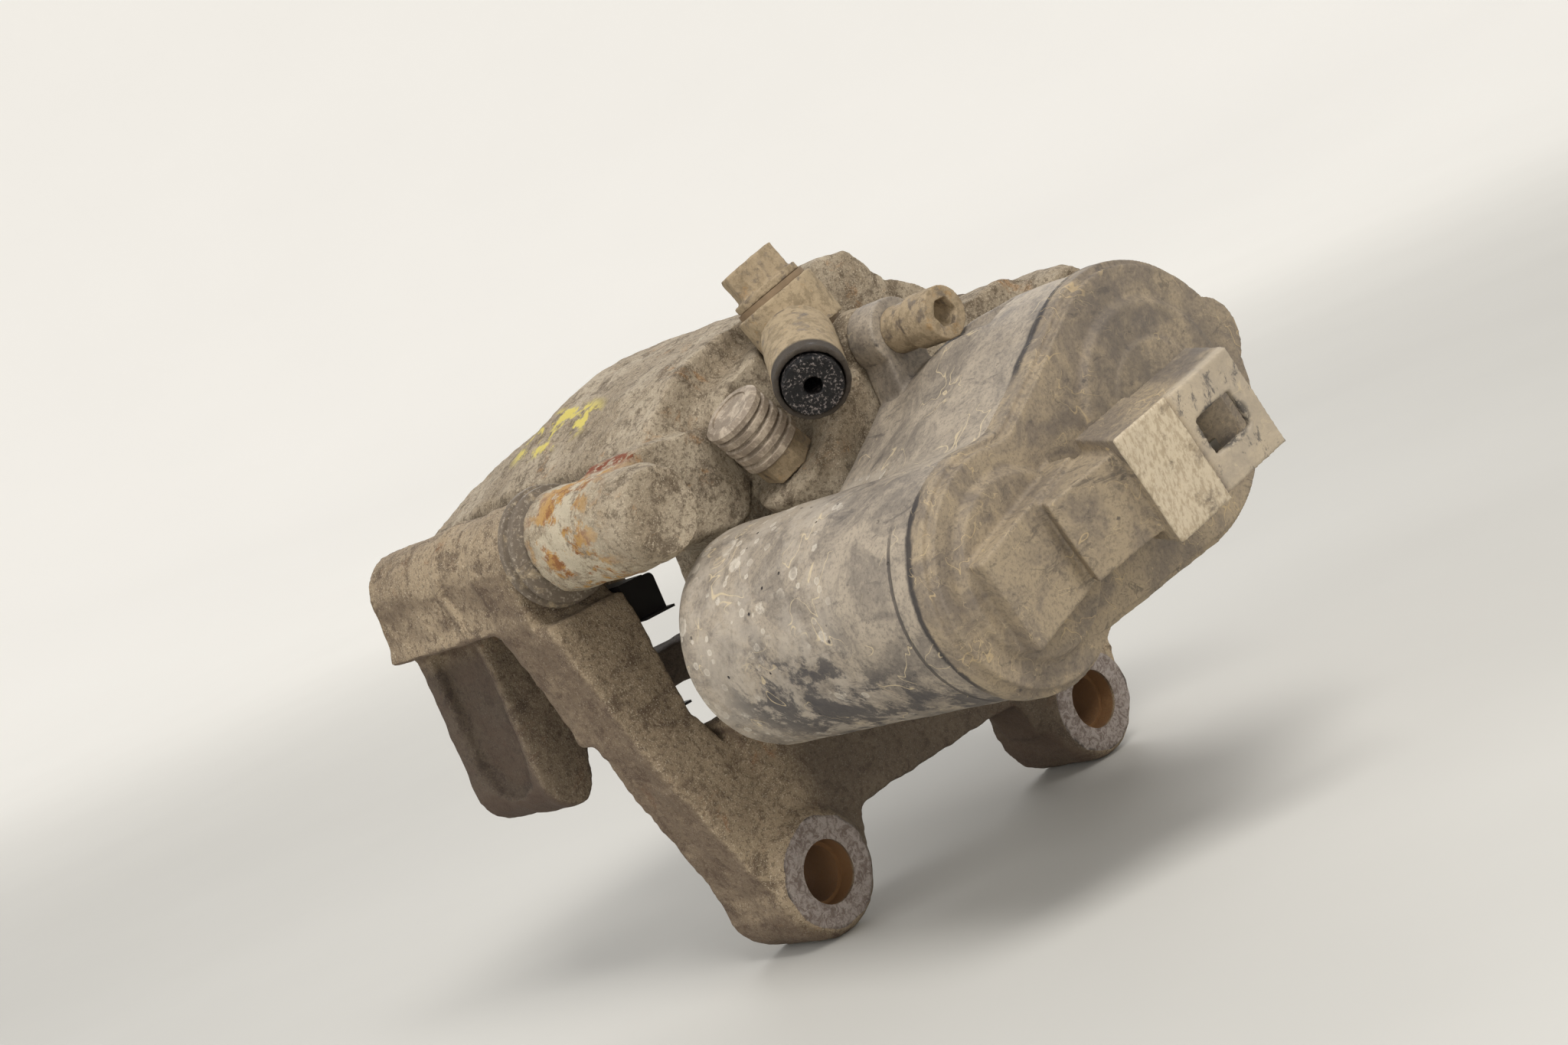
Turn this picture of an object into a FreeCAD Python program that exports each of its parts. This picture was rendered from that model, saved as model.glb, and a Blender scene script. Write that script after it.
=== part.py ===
import FreeCAD, Part

# Floating rear brake caliper with an electric parking brake actuator and its carrier bracket.
# Frame: X runs along the line between the two knuckle bolts, Y is parallel to the wheel's spin
# axis and points outboard, Z points up (radially out from the wheel). The origin is midway
# between the knuckle bolt holes on the carrier's inboard mounting face. Millimetres.

import math
import os
import re

import Sketcher
from FreeCAD import Placement, Rotation, Vector

doc = FreeCAD.newDocument("BrakeCaliper")
sheet = doc.addObject("Spreadsheet::Sheet", "Dims")

DIMENSIONS = {
    # carrier bracket
    "knuckle_half": 41.3,         # half the spacing of the knuckle bolts
    "knuckle_thread": 5.4,        # radius of the knuckle bolt thread
    "knuckle_mouth": 6.2,         # radius of the plain mouth in front of the thread
    "mouth_depth": 4.0,
    "ear_face": 11.0,             # radius of the machined mounting face
    "ear_radius": 12.6,
    "ear_length": 19.5,
    "pin_half": 60.0,             # half the spacing of the guide pins
    "pin_height": 77.4,           # guide pin line above the knuckle bolts
    "arm_start": 16.0,            # inboard end of the guide arm
    "arm_end": 68.0,              # outboard end of the guide arm
    "arm_radius": 10.2,
    "arm_floor": 65.6,            # underside of the guide arm
    "leg_inner": 50.0,            # half distance between the pad abutments
    "inner_leg_out": 29.0,        # outboard face of the inboard leg
    "outer_leg_in": 42.0,         # inboard face of the outboard leg
    "outer_leg_out": 66.5,
    "outer_leg_side": 65.0,
    "outer_leg_floor": 27.0,
    "tie_low": 36.5,
    "tie_high": 45.0,
    "bar_low": 6.8,               # crossbar between the ears
    "bar_high": 24.0,
    "recess_depth": 3.0,
    "bore_depth": 47.5,           # guide pin bore
    "guide_bore": 5.0,
    # guide pins
    "guide_radius": 4.95,
    "boss_end": -21.5,            # inboard end of the housing's guide ear
    "boss_start": 9.0,            # outboard end of the housing's guide ear
    "boss_radius": 8.3,
    "ear_block_face": -12.0,      # inboard face of the block beside each guide boss
    "boot_radius": 11.7,
    # housing
    "axis_height": 60.6,          # piston and spindle axis
    "bore_radius": 19.0,
    "barrel_radius": 27.0,
    "barrel_rear": -31.0,
    "bore_floor": -24.5,
    "barrel_mouth": 14.0,
    "bridge_half": 46.0,
    "bridge_top": 104.0,
    "bridge_under": 85.5,
    "wheel_drop": 68.0,           # wheel centre below the origin
    "finger_in": 61.0,
    "finger_out": 77.0,
    "finger_floor": 49.0,
    "finger_gap": 13.0,
    "spindle_hole": 6.2,
    # hydraulic piston and park brake screw
    "piston_radius": 18.95,
    "piston_front": 17.0,
    "piston_length": 38.0,
    "piston_cup": 12.5,
    "spindle_radius": 5.0,
    "nut_radius": 11.5,
    # actuator
    "motor_x": -44.3,
    "motor_height": 47.9,
    "motor_end": -11.6,           # closed outboard end of the motor tube
    "tube_radius": 20.6,
    "case_rear": -78.5,           # joint between case and lid
    "lid_face": -84.0,
    "case_wall": 2.2,
    "gear_module": 0.7,
}

for row, (alias, value) in enumerate(DIMENSIONS.items(), start=1):
    sheet.set(f"A{row}", alias)
    sheet.set(f"B{row}", str(value))
    sheet.setAlias(f"B{row}", alias)
doc.recompute()

ALONG_Y = Rotation(Vector(0, 0, 1), Vector(0, 1, 0))
ALONG_X = Rotation(Vector(0, 0, 1), Vector(1, 0, 0))
WORD = re.compile(r"[a-z][a-z_]+")
nodes = []


def linked(expression):
    """Turns the sheet's words in an expression into references to its cells."""
    return WORD.sub(lambda m: "Dims." + m.group() if m.group() in DIMENSIONS else m.group(), expression)


def size(alias):
    return float(sheet.get(alias))


def place(item, at, turn=ALONG_Y):
    item.Placement = Placement(Vector(0, 0, 0), turn)
    for letter, expression in zip("xyz", at):
        item.setExpression(f"Placement.Base.{letter}", linked(str(expression)))
    return item


def cylinder(name, radius, length, at, turn=ALONG_Y):
    item = doc.addObject("Part::Cylinder", name)
    item.setExpression("Radius", linked(str(radius)))
    item.setExpression("Height", linked(str(length)))
    return place(item, at, turn)


def cone(name, low, high, length, at, turn=ALONG_Y):
    item = doc.addObject("Part::Cone", name)
    item.setExpression("Radius1", linked(str(low)))
    item.setExpression("Radius2", linked(str(high)))
    item.setExpression("Height", linked(str(length)))
    return place(item, at, turn)


def box(name, sides, at, turn=Rotation()):
    item = doc.addObject("Part::Box", name)
    for side, expression in zip(("Length", "Width", "Height"), sides):
        item.setExpression(side, linked(str(expression)))
    return place(item, at, turn)


def hexagon(name, across_flats, length, at, turn=ALONG_Y):
    item = doc.addObject("Part::Prism", name)
    item.Polygon = 6
    item.Circumradius = across_flats / math.sqrt(3)
    item.Height = length
    return place(item, at, turn)


def fuse(name, *pieces):
    item = doc.addObject("Part::MultiFuse", name)
    item.Shapes = list(pieces)
    item.Refine = True
    return item


def cut(name, base, *tools):
    item = doc.addObject("Part::Cut", name)
    item.Base = base
    item.Tool = tools[0] if len(tools) == 1 else fuse(name + "_tools", *tools)
    item.Refine = True
    return item


def node(item, label):
    item.Label = label
    nodes.append(item)
    return item


def solid(name, shape):
    item = doc.addObject("Part::Feature", name)
    item.Shape = shape
    item.Placement = Placement()
    return item


def rounded_wire(corners, y=0.0):
    """A closed wire in a plane across Y from corners (x, z, corner radius)."""
    points = [Vector(x, y, z) for x, z, _ in corners]
    edges = []
    starts = []
    ends = []
    for i, (_, _, radius) in enumerate(corners):
        here = points[i]
        back = (points[i - 1] - here).normalize()
        ahead = (points[(i + 1) % len(points)] - here).normalize()
        if radius == 0:
            starts.append(here)
            ends.append(here)
            continue
        half = back.getAngle(ahead) / 2
        reach = radius / math.tan(half)
        middle = (back + ahead).normalize() * (radius / math.sin(half) - radius)
        starts.append(here + back * reach)
        ends.append(here + ahead * reach)
        edges.append(Part.Arc(starts[i], here + middle, ends[i]).toShape())
    for i, start in enumerate(starts):
        if (start - ends[i - 1]).Length > 1e-6:
            edges.append(Part.LineSegment(ends[i - 1], start).toShape())
    return Part.Wire(Part.__sortEdges__(edges))


def slab(name, corners, y_from, y_to):
    """An outline across Y, given thickness along Y."""
    face = Part.Face(rounded_wire(corners, y_from))
    return solid(name, face.extrude(Vector(0, y_to - y_from, 0)))


def sided(corners, side):
    """The corners as given for the far side, mirrored in X for the near side."""
    if side > 0:
        return corners
    return [(-x, z, radius) for x, z, radius in reversed(corners)]


def turned(label, profile, at, turn=Rotation()):
    """A PartDesign body revolved about its own Y axis from (radius, distance) corners."""
    body = doc.addObject("PartDesign::Body", label)
    plane = next(p for p in body.Origin.OriginFeatures if p.Role == "XY_Plane")
    sketch = body.newObject("Sketcher::SketchObject", label + "_profile")
    sketch.AttachmentSupport = (plane, "")
    sketch.MapMode = "FlatFace"
    corners = [(str(r), str(a)) for r, a in profile]
    values = [(amount(r), amount(a)) for r, a in corners]
    count = len(corners)
    for i in range(count):
        start = Vector(*values[i], 0)
        end = Vector(*values[(i + 1) % count], 0)
        sketch.addGeometry(Part.LineSegment(start, end))
    for i in range(count):
        sketch.addConstraint(Sketcher.Constraint("Coincident", i, 2, (i + 1) % count, 1))
    for i in range(count):
        for kind, axis, expression, value in (("DistanceX", -2, corners[i][0], values[i][0]),
                                              ("DistanceY", -1, corners[i][1], values[i][1])):
            if value == 0:
                sketch.addConstraint(Sketcher.Constraint("PointOnObject", i, 1, axis))
                continue
            index = sketch.addConstraint(Sketcher.Constraint(kind, -1, 1, i, 1, value))
            sketch.setExpression(f"Constraints[{index}]", linked(expression))
    revolution = body.newObject("PartDesign::Revolution", label + "_turned")
    revolution.Profile = sketch
    revolution.ReferenceAxis = (sketch, ["V_Axis"])
    revolution.Angle = 360
    body.Tip = revolution
    return place(body, at, turn)


def amount(expression):
    """Adds and subtracts numbers and sheet words, for a sketch's starting positions."""
    total = 0.0
    for sign, word in re.findall(r"([+-]?)\s*([a-z_]+|[0-9.]+)", expression):
        value = size(word) if word in DIMENSIONS else float(word)
        total += -value if sign == "-" else value
    return total


# ---------------------------------------------------------------- carrier bracket

def carrier_leg(side):
    """One inboard leg, lofted from the knuckle ear up to the guide arm."""
    inner = size("leg_inner")
    outer = size("pin_half") + size("arm_radius") + 0.4
    ear = size("knuckle_half")
    face = size("inner_leg_out")
    sections = [
        (2.0, ear - 9.0, ear + 13.0, 2.0, 19.0),
        (38.0, inner, outer - 6.0, 8.0, 21.0),
        (size("arm_floor") - 1.0, inner, outer - 1.0, 12.0, face - 2.0),
    ]
    wires = [leg_section(side, *section) for section in sections]
    return solid("leg", Part.makeLoft(wires, True, True))


def leg_head(side):
    """The short stretch that carries the leg into the guide arm, behind the pin boot."""
    inner = size("leg_inner")
    outer = size("pin_half") + size("arm_radius") + 0.4
    start = size("arm_start")
    face = size("inner_leg_out")
    wires = [leg_section(side, size("arm_floor") - 1.0, inner, outer - 1.0, start, face - 2.0),
             leg_section(side, size("pin_height"), inner, outer, start, face)]
    return solid("leg_head", Part.makeLoft(wires, True, True))


def leg_section(side, z, x_in, x_out, y_in, y_out):
    corners = [Vector(side * x_in, y_in, z), Vector(side * x_out, y_in, z),
               Vector(side * x_out, y_out, z), Vector(side * x_in, y_out, z)]
    return Part.makePolygon(corners + corners[:1])


def abutment_block(side):
    """The thick upper stretch of the inboard leg that guides the pad."""
    inner = size("leg_inner")
    outer = size("pin_half") + size("arm_radius") - 2.5
    low = 39.5
    wires = [leg_section(side, low, inner, outer - 3.0, 9.0, size("inner_leg_out") - 3.5),
             leg_section(side, size("arm_floor") - 1.0, inner, outer + 1.0, 13.0, size("inner_leg_out"))]
    return solid("abutment", Part.makeLoft(wires, True, True))


def carrier_side(side):
    x_pin = size("pin_half")
    inner = size("leg_inner")
    arm_x = x_pin - size("arm_radius") if side > 0 else -x_pin - size("arm_radius")
    sign = "" if side > 0 else "-"
    ear = fuse("ear",
               cone("ear_nose", "ear_face", "ear_radius", 2.5, (sign + "knuckle_half", 0, 0)),
               cylinder("ear_barrel", "ear_radius", "ear_length - 2.5", (sign + "knuckle_half", 2.5, 0)))
    arm = fuse("arm",
               cylinder("arm_round", "arm_radius", "arm_end - arm_start",
                        (sign + "pin_half", "arm_start", "pin_height")),
               box("arm_block", ("2 * arm_radius - 0.6", "arm_end - arm_start", "pin_height - arm_floor"),
                   (arm_x + 0.3, "arm_start", "arm_floor")))
    floor = size("outer_leg_floor")
    outer = size("outer_leg_side")
    outline = [(inner, 70.0, 0), (outer, 70.0, 0), (outer, floor + 4.0, 6.5),
               (outer - 6.0, floor, 4.0), (inner + 5.0, floor, 4.0), (inner, floor + 11.0, 4.0)]
    leg = slab("outer_leg", sided(outline, side), size("outer_leg_in"),
               size("outer_leg_out"))
    tie = box("tie", ("leg_inner + 2", 11.0, "tie_high - tie_low"),
              (0 if side > 0 else -inner - 2, 54.0, "tie_low"))
    return [ear, carrier_leg(side), leg_head(side), abutment_block(side), arm, leg, tie]


def carrier_cuts(side):
    sign = "" if side > 0 else "-"
    x_knuckle = sign + "knuckle_half"
    depth = size("recess_depth")
    outer = size("outer_leg_side")
    recess_x = outer - depth if side > 0 else -outer - 2.0
    recess_y = 53.0
    recess_foot = 41.0
    return [
        cylinder("knuckle_hole", "knuckle_thread", "ear_length + 4", (x_knuckle, -1, 0)),
        cylinder("knuckle_recess", "knuckle_mouth", "mouth_depth + 1", (x_knuckle, -1, 0)),
        cone("knuckle_lead", "knuckle_thread", 6.4, 1.0, (x_knuckle, "ear_length - 1", 0)),
        cylinder("guide_hole", "guide_bore", "bore_depth + 1",
                 (sign + "pin_half", "arm_start - 1", "pin_height")),
        cylinder("recess_foot", 8.5, depth + 2.0, (recess_x, recess_y, recess_foot), ALONG_X),
        box("recess_shaft", (depth + 2.0, 17.0, f"arm_floor - {recess_foot}"),
            (recess_x, recess_y - 8.5, recess_foot)),
    ]


def crossbar():
    """The arched bar that joins the two ears."""
    low = size("bar_low")
    high = size("bar_high")
    half = [(24.5, low, 3.0), (27.0, -2.0, 0), (36.0, -2.0, 0), (46.0, high + 10.0, 0),
            (34.0, high + 10.0, 6.0), (25.0, high, 10.0)]
    return slab("crossbar", half + sided(half, -1), 4.0, 14.5)


def carrier_bracket():
    blank = fuse("carrier_blank", crossbar(), *carrier_side(1), *carrier_side(-1))
    return node(cut("carrier", blank, *carrier_cuts(1), *carrier_cuts(-1)), "carrier_bracket")


def clip(side, y_from, y_to, tab_y):
    """One spring-steel clip: a strip on the pad abutment, a top leaf and a front tab with its lip."""
    sheet_metal = 0.5
    inner = size("leg_inner")
    top = size("arm_floor") - 0.4
    foot = 39.0
    strip = [(inner - sheet_metal, foot, 0), (inner, foot, 0), (inner, top, 0), (inner - 6.0, top, 0),
             (inner - 6.0, top - sheet_metal, 0), (inner - sheet_metal, top - sheet_metal, 0)]
    ledge = [(inner - 5.0, foot, 0), (inner - sheet_metal, foot, 0),
             (inner - sheet_metal, foot + sheet_metal, 0), (inner - 5.0, foot + sheet_metal, 0)]
    tab = [(inner - 8.5, top - 8.0, 0), (inner, top - 8.0, 0), (inner, top - 0.2, 0),
           (inner - 8.5, top - 0.2, 1.2)]
    lip = [(inner - 8.5, top - 8.0, 0), (inner - 1.0, top - 8.0, 0), (inner - 1.0, top - 7.5, 0),
           (inner - 8.5, top - 7.5, 0)]
    reach = -2.6 if tab_y < y_to - 1 else 2.6
    lip_from = min(tab_y, tab_y + reach)
    lip_to = max(tab_y + sheet_metal, tab_y + reach)
    return [slab("clip_strip", sided(strip, side), y_from, y_to),
            slab("clip_ledge", sided(ledge, side), y_from, y_to),
            slab("clip_tab", sided(tab, side), tab_y, tab_y + sheet_metal),
            slab("clip_lip", sided(lip, side), lip_from, lip_to)]


def abutment_clips():
    clips = []
    for side in (1, -1):
        clips.append(fuse("clip_in", *clip(side, 13.5, size("inner_leg_out") - 0.5, 13.5)))
        clips.append(fuse("clip_out", *clip(side, size("outer_leg_in") + 0.5, 53.5, 53.0)))
    group = doc.addObject("Part::Compound", "clips")
    group.Links = clips
    return node(group, "abutment_clips")


def pin_boots():
    bore = "guide_radius + 0.15"
    profile = [(bore, 0), (9.6, 0), (9.6, 0.8), ("boot_radius", 1.6), ("boot_radius", 2.8), (9.9, 3.4),
               (11.2, 4.2), (11.2, 5.4), (8.6, 6.6), (bore, 6.6)]
    for label, sign in (("pin_boot_near", "-"), ("pin_boot_far", "")):
        boot = turned(label, profile, (sign + "pin_half", "arm_start", "pin_height"),
                      Rotation(Vector(0, 0, 1), 180))
        node(boot, label)


# ---------------------------------------------------------------- housing

def bridge_section(y, half, top, shoulder, shoulder_z, side_z):
    """One cross-section of the bridge: arched below around the wheel, crowned on top."""
    drop = size("wheel_drop")
    under = size("bridge_under")
    inner = half - 4.0
    inner_z = math.sqrt((under + drop) ** 2 - inner * inner) - drop
    lower = Part.Arc(Vector(-inner, y, inner_z), Vector(0, y, under), Vector(inner, y, inner_z))
    upper = Part.Arc(Vector(shoulder, y, shoulder_z), Vector(0, y, top), Vector(-shoulder, y, shoulder_z))
    rim = [Vector(inner, y, inner_z), Vector(half, y, inner_z + 1.0), Vector(half, y, side_z),
           Vector(shoulder, y, shoulder_z)]
    right = [Part.LineSegment(a, b).toShape() for a, b in zip(rim, rim[1:])]
    rim = [Vector(-corner.x, y, corner.z) for corner in reversed(rim)]
    left = [Part.LineSegment(a, b).toShape() for a, b in zip(rim, rim[1:])]
    return Part.Wire([lower.toShape()] + right + [upper.toShape()] + left)


def bridge():
    """The bridge over the disc: level above the disc, falling away over the fingers."""
    half = size("bridge_half")
    top = size("bridge_top")
    middle = 42.0
    wires = [bridge_section(-4.0, half, top - 1.0, 33.0, top - 7.0, top - 16.0),
             bridge_section(middle, half, top, 30.0, top - 6.0, top - 15.0),
             bridge_section(size("finger_out"), half - 2.0, top - 9.5, 30.0, top - 13.0, top - 18.5)]
    return solid("bridge", Part.makeLoft(wires, True, True))


def finger(side):
    gap = size("finger_gap")
    floor = size("finger_floor")
    corners = [(gap, floor + 3.0, 3.0), (gap + 5.0, floor, 5.0), (gap + 22.0, floor + 4.0, 7.0),
               (size("bridge_half") - 7.0, 84.0, 0), (0.0, 92.0, 0), (0.0, 80.0, 0), (gap, 78.0, 5.0)]
    return slab("finger", sided(corners, side), size("finger_in"), size("finger_out"))


def guide_ear(side):
    """The ear that carries a guide pin: a round boss with a block running back to the barrel."""
    sign = "" if side > 0 else "-"
    x_pin = size("pin_half")
    height = size("pin_height")
    face = size("ear_block_face")
    block = [(x_pin - 29.0, height - 4.0, 0), (x_pin - 25.2, height - 9.6, 4.0),
             (x_pin - 5.0, height - 8.8, 0), (x_pin, height - 8.0, 0), (x_pin + 3.0, height + 7.6, 3.0),
             (x_pin - 8.0, height + 11.4, 4.0), (x_pin - 27.0, height + 9.2, 5.0)]
    root = [(16.0, 52.0, 0), (x_pin - 22.0, height - 11.5, 4.0), (x_pin - 18.0, height - 10.0, 0),
            (x_pin - 18.0, height + 10.0, 0), (x_pin - 26.0, height + 6.5, 5.0), (15.0, 86.0, 0)]
    return [
        slab("ear_block", sided(block, side), face, 3.0),
        slab("ear_root", sided(root, side), face + 2.0, 3.0),
        cylinder("boss_nose", "boss_radius", "boss_start - boss_end",
                 (sign + "pin_half", "boss_end", "pin_height")),
        cone("boss_step", "boss_radius + 0.7", "boss_radius + 1.2", "ear_block_face - boss_end - 2.5",
             (sign + "pin_half", "boss_end + 2.5", "pin_height")),
        cylinder("boss_root", "boss_radius + 1.4", "boss_start - ear_block_face + 0.5",
                 (sign + "pin_half", "ear_block_face - 0.5", "pin_height")),
    ]


BLEED_WAY = Vector(-0.535, 0.016, 0.845).normalize()
BLEED_SEAT = Vector(-27.0, -20.0, 74.2)
BANJO_WAY = Vector(-0.21, 0.2, 0.957).normalize()
BANJO_SEAT = Vector(-9.0, -18.0, 93.0)
HOSE_WAY = Vector(-0.632, -0.663, -0.335).normalize()
SCREW_PLACES = ((-6.5, 89.2), (6.5, 32.0))


def toward(way, spin=0.0):
    return Rotation(Vector(0, 0, 1), way) * Rotation(Vector(0, 0, 1), spin)


def point(start, way, distance):
    """Placement words for the place a distance from a start along a direction."""
    spot = start + way * distance
    return (spot.x, spot.y, spot.z)


def housing():
    barrel = fuse("barrel",
                  cylinder("barrel_round", "barrel_radius", "barrel_mouth - barrel_rear",
                           (0, "barrel_rear", "axis_height")),
                  cylinder("barrel_flange", "barrel_radius + 1.5", 8.0, (0, "barrel_rear", "axis_height")))
    saddle = slab("saddle", [(-30.0, 72.0, 4.0), (30.0, 72.0, 4.0), (31.0, 91.0, 8.0), (12.0, 97.0, 10.0),
                             (-12.0, 97.0, 10.0), (-31.0, 91.0, 8.0)], -12.0, 16.0)
    bleed_boss = cylinder("bleed_boss", 9.4, 18.0, point(BLEED_SEAT, BLEED_WAY, -18.0), toward(BLEED_WAY))
    stop_lug = slab("stop_lug", [(-4.0, 86.0, 0), (15.0, 86.0, 0), (15.5, 98.5, 4.0), (9.0, 106.8, 3.5),
                                 (-1.0, 107.4, 3.0)], -18.0, -4.0)
    banjo_boss = cylinder("banjo_boss", 9.5, 17.0, point(BANJO_SEAT, BANJO_WAY, -17.0), toward(BANJO_WAY))
    lugs = [cylinder("screw_lug", 6.4, 12.0, (x, "barrel_rear", z)) for x, z in SCREW_PLACES]
    blank = fuse("housing_blank", barrel, saddle, bridge(), finger(1), finger(-1), *guide_ear(1),
                 *guide_ear(-1), bleed_boss, banjo_boss, stop_lug, *lugs)
    cuts = [
        cylinder("bore", "bore_radius", "barrel_mouth - bore_floor + 20", (0, "bore_floor", "axis_height")),
        cylinder("spindle_bore", "spindle_hole", 10.0, (0, "barrel_rear - 1", "axis_height")),
        cylinder("oring_groove", 8.0, 2.2, (0, "barrel_rear + 2", "axis_height")),
        cylinder("seal_groove", 21.6, 4.2, (0, 3.9, "axis_height")),
        cylinder("boot_groove", 22.6, 6.0, (0, "barrel_mouth - 2.6", "axis_height")),
        cylinder("bleed_thread", 3.6, 12.0, point(BLEED_SEAT, BLEED_WAY, -11.5), toward(BLEED_WAY)),
        cylinder("inlet_thread", 5.05, 10.0, point(BANJO_SEAT, BANJO_WAY, -9.5), toward(BANJO_WAY)),
        cylinder("inlet_way", 1.6, 14.0, point(BANJO_SEAT, BANJO_WAY, -20.0), toward(BANJO_WAY)),
        cylinder("inlet_face", 9.0, 24.0, (BANJO_SEAT.x, BANJO_SEAT.y, BANJO_SEAT.z), toward(BANJO_WAY)),
    ]
    cuts += [
        cylinder("hose_room", 7.8, 34.0, point(BANJO_SEAT + BANJO_WAY * 6.2, HOSE_WAY, 8.0),
                 toward(HOSE_WAY)),
        cylinder("bleed_room", 7.3, 20.0, point(BLEED_SEAT, BLEED_WAY, 0.0), toward(BLEED_WAY)),
        cylinder("motor_room", "tube_radius + 0.5", "motor_end - barrel_rear + 5.5",
                 ("motor_x", "barrel_rear - 5", "motor_height")),
    ]
    for sign in ("", "-"):
        cuts.append(cylinder("pin_seat", "guide_radius + 0.02", "boss_start - boss_end - 3",
                             (sign + "pin_half", "boss_end + 4", "pin_height")))
    cuts.append(cylinder("pin_bolt_hole", 3.55, 8.0, ("pin_half", "boss_end - 1", "pin_height")))
    cuts += [cylinder("lug_thread", 2.55, 7.0, (x, "barrel_rear - 1", z)) for x, z in SCREW_PLACES]
    return node(cut("housing", blank, *cuts), "caliper_housing")


def guide_pins():
    plain = [(0, 0), ("guide_radius - 1", 0), ("guide_radius", 1), ("guide_radius", 74.5),
             ("guide_radius - 1", 75.5), (0, 75.5)]
    node(turned("guide_pin_near", plain, ("-pin_half", "boss_end + 4", "pin_height")), "guide_pin_near")
    tapped = [(2.5, 0), ("guide_radius - 1", 0), ("guide_radius", 1), ("guide_radius", 74.5),
              ("guide_radius - 1", 75.5), (0, 75.5), (0, 18), (2.5, 18)]
    node(turned("guide_pin_far", tapped, ("pin_half", "boss_end + 4", "pin_height")), "guide_pin_far")
    bolt = fuse("pin_bolt",
                hexagon("pin_bolt_head", 10.0, 5.2, ("pin_half", "boss_end - 6.2", "pin_height")),
                cylinder("pin_bolt_collar", 6.6, 1.0, ("pin_half", "boss_end - 1", "pin_height")),
                cylinder("pin_bolt_shank", 2.45, 18.0, ("pin_half", "boss_end", "pin_height")))
    node(bolt, "guide_pin_bolt")


# ---------------------------------------------------------------- hydraulics

def hydraulic_line():
    thick = 10.0
    washer = 1.2
    eye_low = washer
    eye_high = washer + thick
    turn = toward(BANJO_WAY)

    def along(distance):
        return point(BANJO_SEAT, BANJO_WAY, distance)

    bolt = fuse("banjo_blank",
                cylinder("banjo_shank", 4.95, 8.0 + eye_high + washer, along(-8.0), turn),
                cylinder("banjo_collar", 7.2, 1.6, along(eye_high + washer), turn),
                hexagon("banjo_head", 11.0, 5.6, along(eye_high + washer + 1.6), turn))
    drilling = cylinder("banjo_drilling", 1.6, 16.0, along(-8.5), turn)
    cross = cylinder("banjo_cross", 1.3, 12.0, point(BANJO_SEAT + BANJO_WAY * 6.2, Vector(1, 0, 0), -6.0),
                     toward(Vector(1, 0, 0)))
    node(cut("banjo", bolt, drilling, cross), "banjo_bolt")

    rings = doc.addObject("Part::Compound", "washers")
    rings.Links = [cut("washer", cylinder("washer_disc", 7.6, washer, along(low), turn),
                       cylinder("washer_hole", 5.0, washer + 2, along(low - 1), turn))
                   for low in (0.0, eye_high)]
    node(rings, "banjo_washers")

    centre = BANJO_SEAT + BANJO_WAY * (washer + thick / 2)
    reach = 36.0
    hose_turn = toward(HOSE_WAY)
    fitting = fuse("fitting_blank",
                   cylinder("eye", 8.6, thick, along(eye_low), turn),
                   cylinder("neck", 4.6, 20.0, point(centre, HOSE_WAY, 3.0), hose_turn),
                   cylinder("ferrule", 7.0, reach - 14.5, point(centre, HOSE_WAY, 13.0), hose_turn),
                   cone("ferrule_shoulder", 4.6, 7.0, 3.0, point(centre, HOSE_WAY, 10.0), hose_turn))
    fitting = cut("fitting", fitting,
                  cylinder("eye_hole", 5.0, thick + 4, along(eye_low - 2), turn),
                  cylinder("washer_room", 9.6, 12.0, along(eye_low - 12.0), turn),
                  cylinder("fitting_way", 1.5, 26.0, point(centre, HOSE_WAY, 2.0), hose_turn),
                  cylinder("ferrule_hole", 6.0, reach, point(centre, HOSE_WAY, 17.5), hose_turn))
    node(fitting, "hose_fitting")
    hose = cut("hose", cylinder("hose_outer", 5.6, reach - 17.6, point(centre, HOSE_WAY, 17.6), hose_turn),
               cylinder("hose_inner", 1.7, reach, point(centre, HOSE_WAY, 17.0), hose_turn))
    node(hose, "brake_hose_stub")


def bleed_valve():
    turn = toward(BLEED_WAY, 14.0)

    def along(distance):
        return point(BLEED_SEAT, BLEED_WAY, distance)

    screw = fuse("bleed_blank",
                 cone("bleed_seat", 1.2, 3.5, 3.0, along(-11.0), turn),
                 cylinder("bleed_shank", 3.5, 9.0, along(-8.0), turn),
                 hexagon("bleed_hex", 10.0, 4.4, along(0.6), turn),
                 cylinder("bleed_nipple", 2.9, 8.5, along(4.9), turn))
    cross = point(BLEED_SEAT + BLEED_WAY * -2.4, Vector(0, 1, 0), -5.0)
    screw = cut("bleed", screw, cylinder("bleed_way", 1.1, 20.0, along(-3.0), turn),
                cylinder("bleed_cross", 0.9, 10.0, cross, toward(Vector(0, 1, 0))))
    node(screw, "bleed_screw")
    hollow = 3.0
    rib = 6.3
    groove = 5.5
    profile = [(hollow, 0), (rib - 0.4, 0)]
    for start in (0.4, 2.7, 5.0, 7.3):
        profile += [(rib, start), (rib, start + 1.2), (groove, start + 1.6), (groove, start + 1.9)]
    profile += [(rib + 0.1, 9.5), (rib + 0.1, 10.6), (rib - 0.9, 11.3), (4.3, 11.3), (4.3, 11.0), (0, 11.0),
                (0, 9.0), (hollow, 9.0)]
    cap = turned("bleed_cap", profile, along(5.05), Rotation(Vector(0, 1, 0), BLEED_WAY))
    node(cap, "bleed_cap")


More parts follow.
